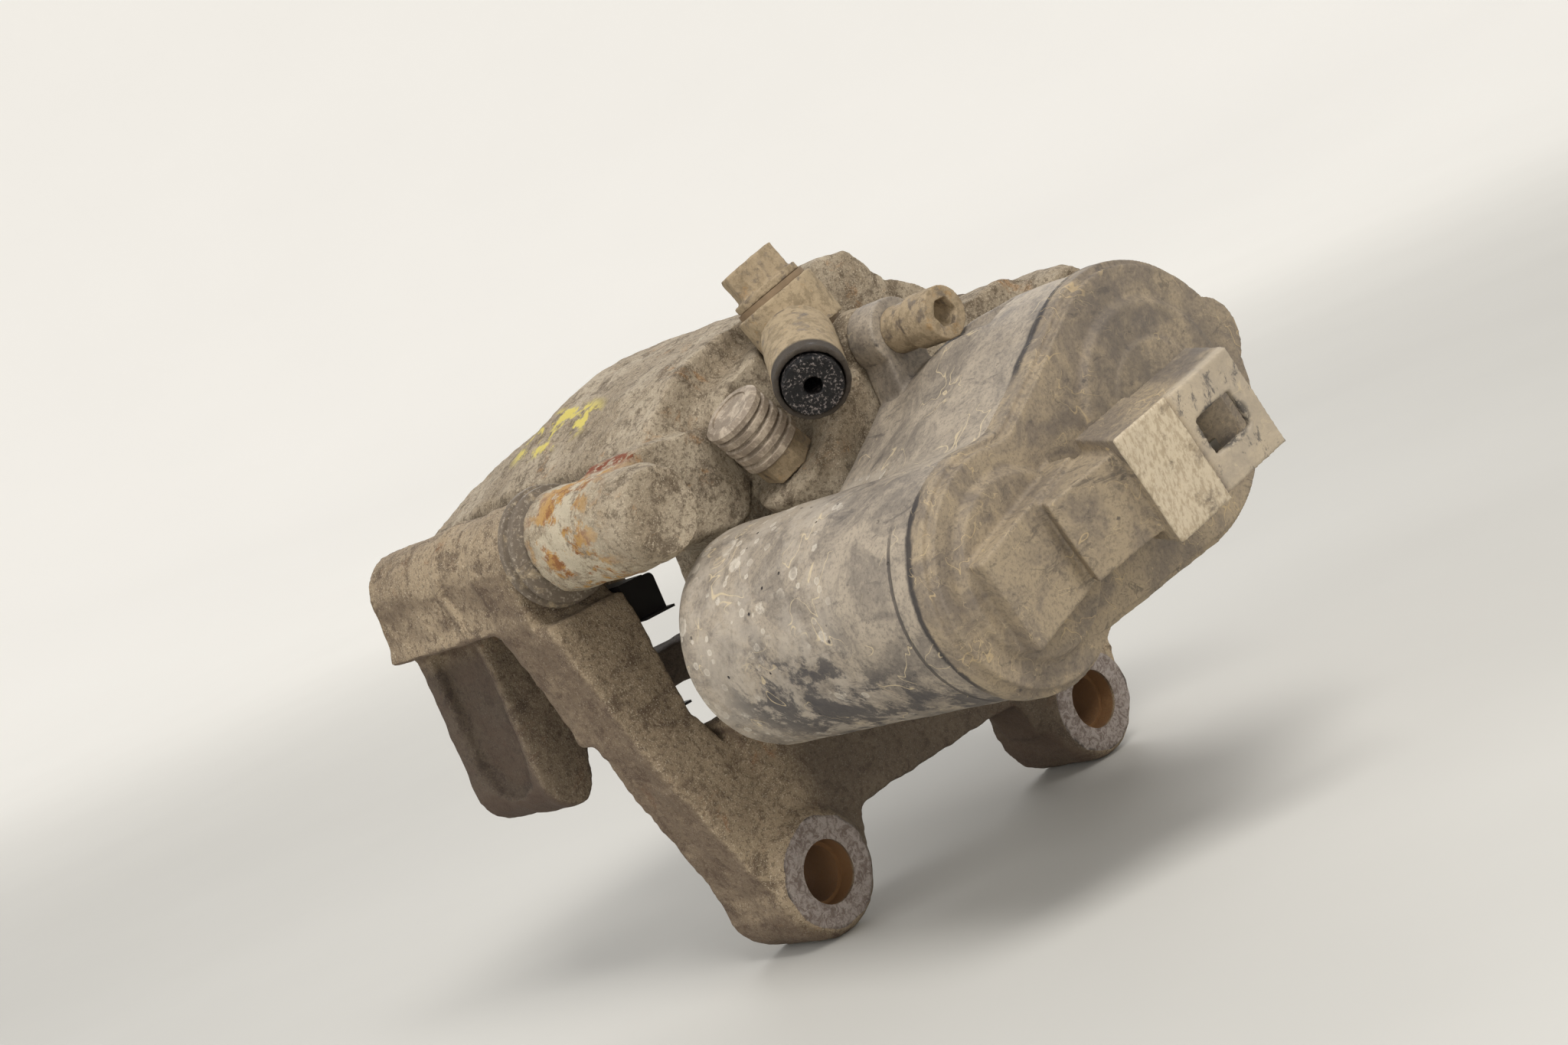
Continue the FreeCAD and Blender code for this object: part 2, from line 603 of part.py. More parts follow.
def cylinder_internals():
    front = size("piston_front")
    length = size("piston_length")
    cup = [("piston_cup", 0), ("piston_radius", 0), ("piston_radius", length - 4.6),
           ("piston_radius - 1.3", length - 4.6), ("piston_radius - 1.3", length - 2.2),
           ("piston_radius", length - 2.2), ("piston_radius", length - 0.8), ("piston_radius - 0.8", length),
           (8.0, length), (8.0, length - 2.0), (0, length - 2.0), (0, length - 8.0),
           ("piston_cup", length - 8.0)]
    node(turned("piston", cup, (0, front - length, "axis_height")), "piston")
    ring = [("piston_radius + 0.05", 0), (21.4, 0), (21.4, 3.8), ("piston_radius + 0.05", 3.8)]
    node(turned("piston_seal", ring, (0, 4.1, "axis_height")), "piston_seal")
    boot = [("piston_radius + 0.2", 2.6), (20.0, 0), (22.5, 0), (22.5, 2.4), (20.9, 3.4), (20.9, 4.2),
            (20.0, 4.6), ("piston_radius + 0.2", 3.6)]
    node(turned("piston_boot", boot, (0, "barrel_mouth - 2.5", "axis_height")), "piston_boot")

    flange = 10.5
    spindle = [(0, 0), (4.2, 0), (4.2, 6.0), (5.2, 6.0), (5.2, 7.2), (6.1, 7.2), (6.1, 17.4), (flange, 17.4),
               (flange, 20.0), ("spindle_radius", 20.0), ("spindle_radius", 40.0), (4.0, 41.0), (0, 41.0)]
    node(turned("spindle", spindle, (0, -38.5, "axis_height")), "spindle")
    ring = [(6.2, 0), (flange, 0), (flange, 3.0), (6.2, 3.0)]
    node(turned("thrust_bearing", ring, (0, "bore_floor + 0.2", "axis_height")), "thrust_bearing")
    ring = [(6.15, 0), (7.9, 0), (7.9, 1.8), (6.15, 1.8)]
    node(turned("spindle_seal", ring, (0, "barrel_rear + 2.2", "axis_height")), "spindle_seal")
    snap = cut("snap_ring", cylinder("snap_disc", 7.4, 0.9, (0, -32.2, "axis_height")),
               cylinder("snap_hole", 5.25, 3.0, (0, -33.0, "axis_height")),
               box("snap_gap", (4.0, 3.0, 10.0), (-2.0, -33.0, "axis_height - 10")))
    node(snap, "circlip")
    nut = cut("nut", fuse("nut_blank",
                          cylinder("nut_round", "nut_radius", 5.0, (0, -10.0, "axis_height")),
                          hexagon("nut_hex", 17.0, 11.0, (0, -10.0, "axis_height"))),
              cylinder("nut_thread", "spindle_radius + 0.06", 20.0, (0, -14.0, "axis_height")))
    node(nut, "spindle_nut")


# ---------------------------------------------------------------- park brake actuator

def web_outline(grow):
    """The waisted outline between the motor circle and the spindle circle."""
    x_m = size("motor_x")
    z_m = size("motor_height")
    z_s = size("axis_height")
    return [(x_m, z_m + 21.0 + grow, 0), (x_m + 7.5, z_m + 21.6 + grow, 7.0),
            (x_m + 19.0, z_m + 28.0 + grow, 9.0), (-13.0, z_s + 23.0 + grow, 0), (0, z_s, 0),
            (3.0, z_s - 26.4 - grow, 0), (x_m + 14.5, z_m - 16.4 - grow, 6.0),
            (x_m + 2.0, z_m - 19.0 - grow, 0), (x_m, z_m, 0)]


def outline_block(name, motor_radius, near_radius, far_radius, grow, y_from, y_to):
    """A solid with the actuator's outline; the spindle end tapers from y_from to y_to."""
    length = y_to - y_from
    return fuse(name,
                cylinder(name + "_motor", motor_radius, length, ("motor_x", y_from, "motor_height")),
                cone(name + "_tower", near_radius, far_radius, length, (0, y_from, "axis_height")),
                slab(name + "_web", web_outline(grow), y_from, y_to))


# how the tower narrows towards the barrel: distance along Y, tower radius, growth of the web outline
TOWER_SWEEP = ((-62.0, 26.4, -0.6), (-53.0, 25.4, -1.8), (-47.0, 24.0, -3.4), (-42.0, 22.3, -4.6),
               (-38.0, 21.1, -5.4), (-32.8, 20.6, -5.8))


def actuator_case():
    rear = size("case_rear")
    front = size("barrel_rear") - 0.3
    body = outline_block("case_body", 20.6, 26.2, 26.4, -0.6, rear, TOWER_SWEEP[0][0])
    sweep = []
    for (y_from, near, wide), (y_to, far, narrow) in zip(TOWER_SWEEP, TOWER_SWEEP[1:]):
        sweep.append(cone("tower_sweep", near, far, y_to - y_from, (0, y_from, "axis_height")))
        wires = [rounded_wire(web_outline(wide), y_from), rounded_wire(web_outline(narrow), y_to)]
        sweep.append(solid("web_sweep", Part.makeLoft(wires, True, True)))
    tube = fuse("tube",
                cylinder("tube_round", "tube_radius", "motor_end - barrel_rear - 2",
                         ("motor_x", "barrel_rear - 4", "motor_height")),
                cone("tube_end_1", "tube_radius", "tube_radius - 0.5", 2.3,
                     ("motor_x", "motor_end - 6", "motor_height")),
                cone("tube_end_2", "tube_radius - 0.5", "tube_radius - 1.8", 1.9,
                     ("motor_x", "motor_end - 3.7", "motor_height")),
                cone("tube_end_3", "tube_radius - 1.8", "tube_radius - 3.7", 1.3,
                     ("motor_x", "motor_end - 1.8", "motor_height")),
                cone("tube_end_4", "tube_radius - 3.7", "tube_radius - 6", 0.5,
                     ("motor_x", "motor_end - 0.5", "motor_height")),
                cylinder("tube_root", "tube_radius", 30.0, ("motor_x", "barrel_rear - 33", "motor_height")))
    spigot = cylinder("spigot", 20.6, 3.0, (0, front - 3.0, "axis_height"))
    lugs = []
    for x, z in SCREW_PLACES:
        lugs.append(cylinder("case_lug", 6.6, 7.0, (x, front - 7.0, z)))
        lugs.append(box("lug_web", (10.0, 7.0, 14.0), (x - 5.0, front - 7.0, z - 14.0 if x < 0 else z)))
    idler = idler_place()
    cuts = [
        cylinder("idler_cavity", 17.1, 20.0, (idler[0], rear - 1, idler[1])),
        cylinder("tower_cavity", 22.2, "-47.5 - case_rear", (0, "case_rear - 1", "axis_height")),
        cylinder("drive_cavity", 17.2, 14.0, (0, -49.0, "axis_height")),
        cylinder("tube_cavity", "tube_radius - case_wall", "motor_end - case_rear - case_wall + 1",
                 ("motor_x", "case_rear - 1", "motor_height")),
        slab("gear_cavity", [(size("motor_x"), 62.0, 0), (-22.0, 71.0, 6.0), (0, 80.0, 0), (0, 41.0, 0),
                             (-22.0, 37.5, 6.0), (size("motor_x"), 34.0, 0)], rear - 1, rear + 20.0),
        cylinder("tower_mouth", 9.0, 12.0, (0, front - 10.0, "axis_height")),
    ]
    for x, z in SCREW_PLACES:
        cuts.append(cylinder("screw_scallop", 6.1, 26.0, (x, front - 33.0, z)))
        cuts.append(cylinder("screw_way", 3.1, 12.0, (x, front - 9.0, z)))
    cuts.append(cut("seal_groove", cylinder("groove_disc", 19.1, 3.0, (0, front - 1.4, "axis_height")),
                    cylinder("groove_core", 16.1, 5.0, (0, front - 2.0, "axis_height"))))
    blank = fuse("case_blank", body, tube, spigot, *sweep, *lugs)
    node(cut("case", blank, *cuts), "actuator_case")
    ring = [(16.2, 0), (19.0, 0), (19.0, 1.65), (16.2, 1.65)]
    node(turned("actuator_seal", ring, (0, front - 1.4, "axis_height")), "actuator_seal")


LONG_TURN = Rotation(Vector(0, 1, 0), -16.5)


def lid_point(along, across, y):
    """A place on the lid: along its long axis from the motor centre, across it, and at a depth."""
    spot = LONG_TURN.multVec(Vector(along, 0, across))
    return (size("motor_x") + spot.x, y, size("motor_height") + spot.z)


def actuator_lid():
    rear = size("case_rear")
    face = size("lid_face")
    plate = outline_block("plate", 21.4, 26.4, 26.8, 0.0, face + 1.6, rear)
    crown = outline_block("crown", 20.2, 25.2, 25.6, -1.4, face, rear)
    bump = cylinder("bump", 7.5, rear - face - 1.2, (21.5, face + 1.2, 66.5))
    spindle_dome = cone("spindle_dome", 11.5, 12.5, 1.6, (0, face - 1.6, "axis_height"))
    motor_step = cone("motor_step", 15.2, 16.2, 1.5, ("motor_x", face - 1.5, "motor_height"))
    ridge = cone("ridge", 18.2, 19.4, 1.2, (0, face - 1.2, "axis_height"))

    block_half = 8.9
    block = box("motor_block", (29.0, 7.0, 2 * block_half), lid_point(-12.6, -block_half, -89.5), LONG_TURN)
    rise_foot = Vector(*lid_point(3.0, 1.0 - block_half, -92.5))
    rise = box("block_rise", (15.0, 10.0, 2 * block_half - 2.0), tuple(rise_foot),
               LONG_TURN * Rotation(Vector(0, 0, 1), -30.0))
    tilt = LONG_TURN * Rotation(Vector(0, 0, 1), -22.0)
    half = 9.7
    depth = 12.5
    foot = Vector(*lid_point(15.0, -half, -101.8))
    shell = box("connector_shell", (24.6, depth, 2 * half), tuple(foot), tilt)
    collar_foot = foot + tilt.multVec(Vector(-1.0, -0.9, -0.7))
    collar = box("connector_collar", (11.5, depth + 1.0, 2 * half + 1.4), tuple(collar_foot), tilt)
    socket_foot = foot + tilt.multVec(Vector(8.0, 1.6, 1.8))
    socket = box("connector_socket", (24.0, depth - 3.2, 2 * half - 3.6), tuple(socket_foot), tilt)
    latch_foot = foot + tilt.multVec(Vector(13.0, -1.0, half - 3.6))
    latch = box("connector_window", (8.0, 3.0, 7.2), tuple(latch_foot), tilt)
    strut = box("connector_strut", (16.0, 16.0, 9.0), lid_point(14.0, -4.5, -99.0), LONG_TURN)
    strut = cut("strut", strut, box("strut_trim", (40.0, 40.0, 30.0),
                                    tuple(foot + tilt.multVec(Vector(-8.0, 6.0 - 40.0, -5.0))), tilt))
    blank = fuse("lid_blank", plate, crown, bump, spindle_dome, motor_step, ridge, block, rise, shell,
                 collar, strut)
    hollow = [
        cylinder("lid_tower_hollow", 22.2, rear - face - 2.4, (0, face + 2.5, "axis_height")),
        cylinder("lid_motor_hollow", 17.2, rear - face - 2.4, ("motor_x", face + 2.5, "motor_height")),
    ]
    shell_only = cut("lid_shell", blank, socket, latch, *hollow)
    post = cylinder("sun_post", 4.0, -68.5 - face - 2.0, (0, face + 2.0, "axis_height"))
    idler = idler_place()
    seats = [cylinder("sun_seat", 1.52, 20.0, (0, -81.5, "axis_height")),
             cylinder("idler_seat", 1.52, 20.0, (idler[0], -81.5, idler[1]))]
    node(cut("lid", fuse("lid_posts", shell_only, post), *seats), "actuator_lid")

    pins = []
    for across in (half - 4.2, half + 4.2):
        pin_foot = foot + tilt.multVec(Vector(8.0, depth / 2 - 0.4, across - 0.9))
        pins.append(box("pin", (9.0, 0.8, 1.8), tuple(pin_foot), tilt))
    terminals = doc.addObject("Part::Compound", "terminals")
    terminals.Links = pins
    node(terminals, "connector_terminals")


def actuator_screws():
    seat = size("barrel_rear") - 7.3
    screws = []
    for x, z in SCREW_PLACES:
        blank = fuse("screw_blank",
                     cylinder("screw_head", 5.1, 7.0, (x, seat - 13.0, z)),
                     cylinder("screw_sleeve", 4.5, 6.0, (x, seat - 6.0, z)),
                     cylinder("screw_shank", 2.5, 12.8, (x, seat, z)))
        socket = hexagon("screw_socket", 5.0, 4.0, (x, seat - 13.5, z))
        screws.append(cut("screw", blank, socket))
    group = doc.addObject("Part::Compound", "screws")
    group.Links = screws
    node(group, "actuator_screws")


# ---------------------------------------------------------------- motor and gears

PINION_TEETH, WHEEL_TEETH = 12, 46
SMALL_TEETH, SUN_WHEEL_TEETH = 17, 57
SUN_TEETH, PLANET_TEETH, RING_TEETH = 12, 21, 54
PLANET_ANGLES = (90.0, 210.0, 330.0)


def gear_face(teeth, centre, phase, tip=0.75, root=1.05, share=0.40):
    """A flat gear outline across Y; phase is the angle from X towards Z of one tooth's middle."""
    module = size("gear_module")
    pitch_radius = module * teeth / 2
    levels = ((pitch_radius - root * module, share + 0.12), (pitch_radius, share),
              (pitch_radius + tip * module, share - 0.17))
    corners = []
    for tooth in range(teeth):
        middle = math.radians(phase) + 2 * math.pi * tooth / teeth
        flank = [(radius, middle - math.pi / teeth * width) for radius, width in levels]
        flank += [(radius, middle + math.pi / teeth * width) for radius, width in reversed(levels)]
        corners += [Vector(centre[0] + radius * math.cos(angle), 0, centre[1] + radius * math.sin(angle))
                    for radius, angle in flank]
    return Part.Face(Part.makePolygon(corners + corners[:1]))


def gear(name, teeth, centre, phase, y_from, y_to):
    face = gear_face(teeth, centre, phase)
    face.translate(Vector(0, y_from, 0))
    return solid(name, face.extrude(Vector(0, y_to - y_from, 0)))


def idler_place():
    """The idler axis, from its two centre distances, and the two mesh directions."""
    module = size("gear_module")
    first = module * (PINION_TEETH + WHEEL_TEETH) / 2
    second = module * (SMALL_TEETH + SUN_WHEEL_TEETH) / 2
    dx = -size("motor_x")
    dz = size("axis_height") - size("motor_height")
    span = math.hypot(dx, dz)
    along = (first * first - second * second + span * span) / (2 * span)
    aside = math.sqrt(first * first - along * along)
    x = size("motor_x") + (along * dx + aside * dz) / span
    z = size("motor_height") + (along * dz - aside * dx) / span
    return x, z


def gear_train():
    motor = (size("motor_x"), size("motor_height"))
    idler = idler_place()
    output = (0.0, size("axis_height"))
    to_idler = math.degrees(math.atan2(idler[1] - motor[1], idler[0] - motor[0]))
    to_output = math.degrees(math.atan2(output[1] - idler[1], output[0] - idler[0]))

    pinion = cut("pinion", gear("pinion_blank", PINION_TEETH, motor, to_idler, -77.0, -70.5),
                 cylinder("pinion_hole", 1.52, 8.0, ("motor_x", -78.0, "motor_height")))
    node(pinion, "motor_pinion")

    wheel = fuse("idler_blank",
                 gear("idler_wheel", WHEEL_TEETH, idler, to_idler + 180 + 180 / WHEEL_TEETH, -76.5, -71.5),
                 gear("idler_pinion", SMALL_TEETH, idler, to_output, -71.5, -61.5))
    node(cut("idler", wheel, cylinder("idler_hole", 1.55, 20.0, (idler[0], -78.0, idler[1]))), "idler_gear")
    idler_pin = cylinder("idler_axle", 1.5, 21.0, (idler[0], -81.4, idler[1]))
    node(idler_pin, "idler_axle")

    sun = fuse("sun_blank",
               gear("sun_wheel", SUN_WHEEL_TEETH, output, to_output + 180 + 180 / SUN_WHEEL_TEETH,
                    -67.5, -62.0),
               gear("sun_pinion", SUN_TEETH, output, PLANET_ANGLES[0], -62.0, -49.0))
    node(cut("sun", sun, cylinder("sun_hole", 1.55, 30.0, (0, -75.0, "axis_height"))), "sun_gear")
    node(cylinder("sun_axle", 1.5, 33.0, (0, -81.4, "axis_height")), "sun_axle")

    module = size("gear_module")
    arm = module * (SUN_TEETH + PLANET_TEETH) / 2
    carrier_pieces = [cylinder("drive_disc", 16.5, 3.0, (0, -47.0, "axis_height")),
                      cylinder("drive_hub", 7.6, 11.6, (0, -44.6, "axis_height"))]
    for letter, angle in zip("abc", PLANET_ANGLES):
        x = arm * math.cos(math.radians(angle))
        z = output[1] + arm * math.sin(math.radians(angle))
        planet = gear("planet_blank", PLANET_TEETH, (x, z), angle + 180 + 180 / PLANET_TEETH, -58.5, -49.5)
        label = "planet_gear_" + letter
        node(cut("planet_" + letter, planet, cylinder("planet_hole", 2.55, 12.0, (x, -60.0, z))), label)
        carrier_pieces.append(cylinder("planet_pin", 2.5, 13.0, (x, -59.5, z)))
    drive = cut("drive", fuse("drive_blank", *carrier_pieces),
                cylinder("drive_socket", 4.25, 9.5, (0, -39.2, "axis_height")))
    node(drive, "output_drive")

    ring = cylinder("ring_blank", 21.9, 11.0, (0, -60.0, "axis_height"))
    face = gear_face(RING_TEETH, output, PLANET_ANGLES[0], tip=1.05, root=0.75, share=0.60)
    face.translate(Vector(0, -61.0, 0))
    node(cut("ring", ring, solid("ring_teeth", face.extrude(Vector(0, 13.0, 0)))), "ring_gear")


def motor():
    at = ("motor_x", "motor_end - 3.5", "motor_height")
    back = Rotation(Vector(0, 0, 1), 180)
    can = [(0, 0), (15.0, 0), (17.0, 2.0), (17.0, 41.0), (16.0, 41.0), (16.0, 2.0), (0, 2.0)]
    node(turned("motor_can", can, at, back), "motor_can")
    cap = [(2.0, 41.0), (17.0, 41.0), (17.0, 43.0), (6.0, 43.0), (6.0, 44.5), (2.0, 44.5)]
    node(turned("motor_end_cap", cap, at, back), "motor_end_cap")
    shells = []
    for side in (1, -1):
        ring = cut("magnet_ring", cylinder("magnet_outer", 15.95, 30.0, ("motor_x", -50.0, "motor_height")),
                   cylinder("magnet_inner", 12.6, 32.0, ("motor_x", -51.0, "motor_height")))
        half = box("magnet_side", (20.0, 40.0, 22.0),
                   (size("motor_x") + (2.0 if side > 0 else -22.0), -55.0, size("motor_height") - 11.0))
        piece = doc.addObject("Part::Common", "magnet")
        piece.Base = ring
        piece.Tool = half
        shells.append(piece)
    magnets = doc.addObject("Part::Compound", "magnets")
    magnets.Links = shells
    node(magnets, "motor_magnets")
    rotor = fuse("rotor",
                 cylinder("rotor_shaft", 1.5, 56.0, ("motor_x", -77.0, "motor_height")),
                 cylinder("rotor_core", 11.8, 24.0, ("motor_x", -48.0, "motor_height")),
                 cylinder("commutator", 4.5, 7.0, ("motor_x", -56.0, "motor_height")))
    node(rotor, "motor_armature")


carrier_bracket()
abutment_clips()
pin_boots()
housing()
guide_pins()
hydraulic_line()
bleed_valve()
cylinder_internals()
actuator_case()
actuator_lid()
actuator_screws()
gear_train()
motor()

doc.recompute()
for item in doc.Objects:
    if "Invalid" in item.State or "Error" in item.State:
        raise RuntimeError(f"{item.Name} failed: {item.State}")
for item in nodes:
    if item.Shape.isNull() or not item.Shape.isValid():
        raise RuntimeError(f"{item.Label} has no valid shape")

os.makedirs("parts", exist_ok=True)
for item in nodes:
    item.Shape.exportStep(os.path.join("parts", item.Label + ".step"))
    box_size = item.Shape.BoundBox
    print(f"{item.Label:22s} {len(item.Shape.Solids)} solids {item.Shape.Volume / 1000:8.2f} cm3 "
          f"{box_size.XMin:7.1f} {box_size.XMax:7.1f} {box_size.YMin:7.1f} {box_size.YMax:7.1f} "
          f"{box_size.ZMin:7.1f} {box_size.ZMax:7.1f}")
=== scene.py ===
import math

import bmesh
import bpy
import numpy as np
from mathutils import Matrix, Vector, noise


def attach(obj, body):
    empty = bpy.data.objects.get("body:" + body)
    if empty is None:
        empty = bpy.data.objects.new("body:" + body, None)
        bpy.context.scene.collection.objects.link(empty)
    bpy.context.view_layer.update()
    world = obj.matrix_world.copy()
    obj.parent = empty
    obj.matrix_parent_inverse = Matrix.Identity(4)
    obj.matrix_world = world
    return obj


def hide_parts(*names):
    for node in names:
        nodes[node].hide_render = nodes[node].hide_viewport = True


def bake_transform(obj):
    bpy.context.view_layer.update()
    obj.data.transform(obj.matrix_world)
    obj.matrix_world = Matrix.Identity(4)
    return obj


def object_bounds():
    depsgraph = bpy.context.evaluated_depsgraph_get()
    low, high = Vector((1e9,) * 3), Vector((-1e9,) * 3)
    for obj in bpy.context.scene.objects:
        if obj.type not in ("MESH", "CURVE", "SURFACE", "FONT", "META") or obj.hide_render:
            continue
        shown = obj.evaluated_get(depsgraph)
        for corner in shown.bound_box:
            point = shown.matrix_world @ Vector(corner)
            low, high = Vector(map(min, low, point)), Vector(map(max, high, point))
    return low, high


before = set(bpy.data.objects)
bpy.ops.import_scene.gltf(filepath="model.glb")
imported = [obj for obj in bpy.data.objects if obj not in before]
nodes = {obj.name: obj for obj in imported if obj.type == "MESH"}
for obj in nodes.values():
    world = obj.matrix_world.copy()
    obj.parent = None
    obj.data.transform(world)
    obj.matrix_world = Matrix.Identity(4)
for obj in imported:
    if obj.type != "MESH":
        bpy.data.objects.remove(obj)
CAD_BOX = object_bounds()
scene = bpy.context.scene
MM = 0.001

# places and radii on the part, in millimetres of the row frame
KNUCKLE_X = 41.3
BOLT_MOUTH_R = 6.2
BOLT_THREAD_R = 5.4
SPOT_FACE_R = 11.6
PIN_X = 60.0
PIN_Z = 77.4
PIN_ARM_R = 5.05
PIN_EAR_R = 5.0
PISTON_Z = 60.6
PISTON_BORE_R = 19.05
LID_SEAM_Y = -78.6
CONNECTOR = (-27.2, -101.8, 42.9)
CONNECTOR_OUT = (0.889, -0.375, 0.263)
CONNECTOR_DEEP = (0.359, 0.927, 0.106)

FLOOR_FLAT = 1.4
FLOOR_RISE = 1.8
FLOOR_SIDES = 96
CUTTER_SIDES = 64

# sockets of a colour Mix node, which share their names with its other kinds of socket
MIX_A, MIX_B, MIX_COLOR = 6, 7, 2


# ------------------------------------------------------------------ camera, light and floor

def camera():
    """The camera stands on the inboard side, level with the bridge, and is rolled."""
    right = Vector((0.6834, -0.6154, -0.3928)).normalized()
    up = Vector((0.3516, -0.1940, 0.9158)).normalized()
    back = right.cross(up).normalized()
    turn = Matrix((right, back.cross(right), back)).transposed().to_4x4()
    data = bpy.data.cameras.new("camera")
    data.lens = 58.6
    data.sensor_width = 36.0
    data.clip_start = 0.05
    data.clip_end = 20.0
    eye = bpy.data.objects.new("camera", data)
    eye.matrix_world = Matrix.Translation((-0.3328, -0.3763, 0.1043)) @ turn
    scene.collection.objects.link(eye)
    scene.camera = eye


def area_light(name, place, target, width, height, watts, tint):
    data = bpy.data.lights.new(name, "AREA")
    data.shape = "RECTANGLE"
    data.size = width
    data.size_y = height
    data.energy = watts
    data.color = tint
    lamp = bpy.data.objects.new(name, data)
    lamp.location = place
    lamp.rotation_euler = (Vector(target) - Vector(place)).to_track_quat("-Z", "Y").to_euler()
    lamp.visible_camera = False
    scene.collection.objects.link(lamp)


def studio():
    middle = (0.0, -0.01, 0.045)
    area_light("key", (-0.30, -0.70, 1.20), middle, 0.7, 0.5, 15.5, (1.0, 0.985, 0.965))
    area_light("window", (-1.2, 0.35, 0.75), middle, 0.8, 0.8, 6.0, (0.96, 0.98, 1.0))
    area_light("rear", (0.9, 1.0, 0.9), middle, 0.9, 0.7, 7.0, (1.0, 0.985, 0.96))
    area_light("low", (0.9, -0.9, 0.35), middle, 0.7, 0.5, 2.0, (1.0, 0.985, 0.97))
    area_light("front", (-1.0, -0.75, 0.25), middle, 0.9, 0.4, 3.6, (1.0, 0.985, 0.97))
    world = bpy.data.worlds.new("studio")
    world.use_nodes = True
    background = world.node_tree.nodes["Background"]
    background.inputs["Color"].default_value = (0.98, 0.98, 1.0, 1.0)
    background.inputs["Strength"].default_value = 0.38
    scene.world = world
    scene.view_settings.view_transform = "Standard"


def floor():
    """A pale floor that sweeps up far behind the object on every side, with no horizon."""
    lowest = CAD_BOX[0][2]
    flat = [0.1 * step for step in range(1, 15)]
    rise = [math.radians(4.0 * step) for step in range(1, 20)]
    rings = [(radius, 0.0) for radius in flat]
    rings += [(FLOOR_FLAT + FLOOR_RISE * math.sin(angle), FLOOR_RISE * (1.0 - math.cos(angle)))
              for angle in rise]
    count = FLOOR_SIDES
    verts = [(0.0, 0.0, lowest)]
    for radius, height in rings:
        for i in range(count):
            angle = 2 * math.pi * i / count
            verts.append((radius * math.cos(angle), radius * math.sin(angle), lowest + height))
    faces = [(0, 1 + i, 1 + (i + 1) % count) for i in range(count)]
    for ring in range(len(rings) - 1):
        low = 1 + ring * count
        high = low + count
        for i in range(count):
            j = (i + 1) % count
            faces.append((low + i, high + i, high + j, low + j))
    mesh = bpy.data.meshes.new("floor")
    mesh.from_pydata(verts, [], faces)
    for face in mesh.polygons:
        face.use_smooth = True
    sweep = bpy.data.objects.new("floor", mesh)
    scene.collection.objects.link(sweep)
    mesh.materials.append(floor_material())


# ------------------------------------------------------------------ materials

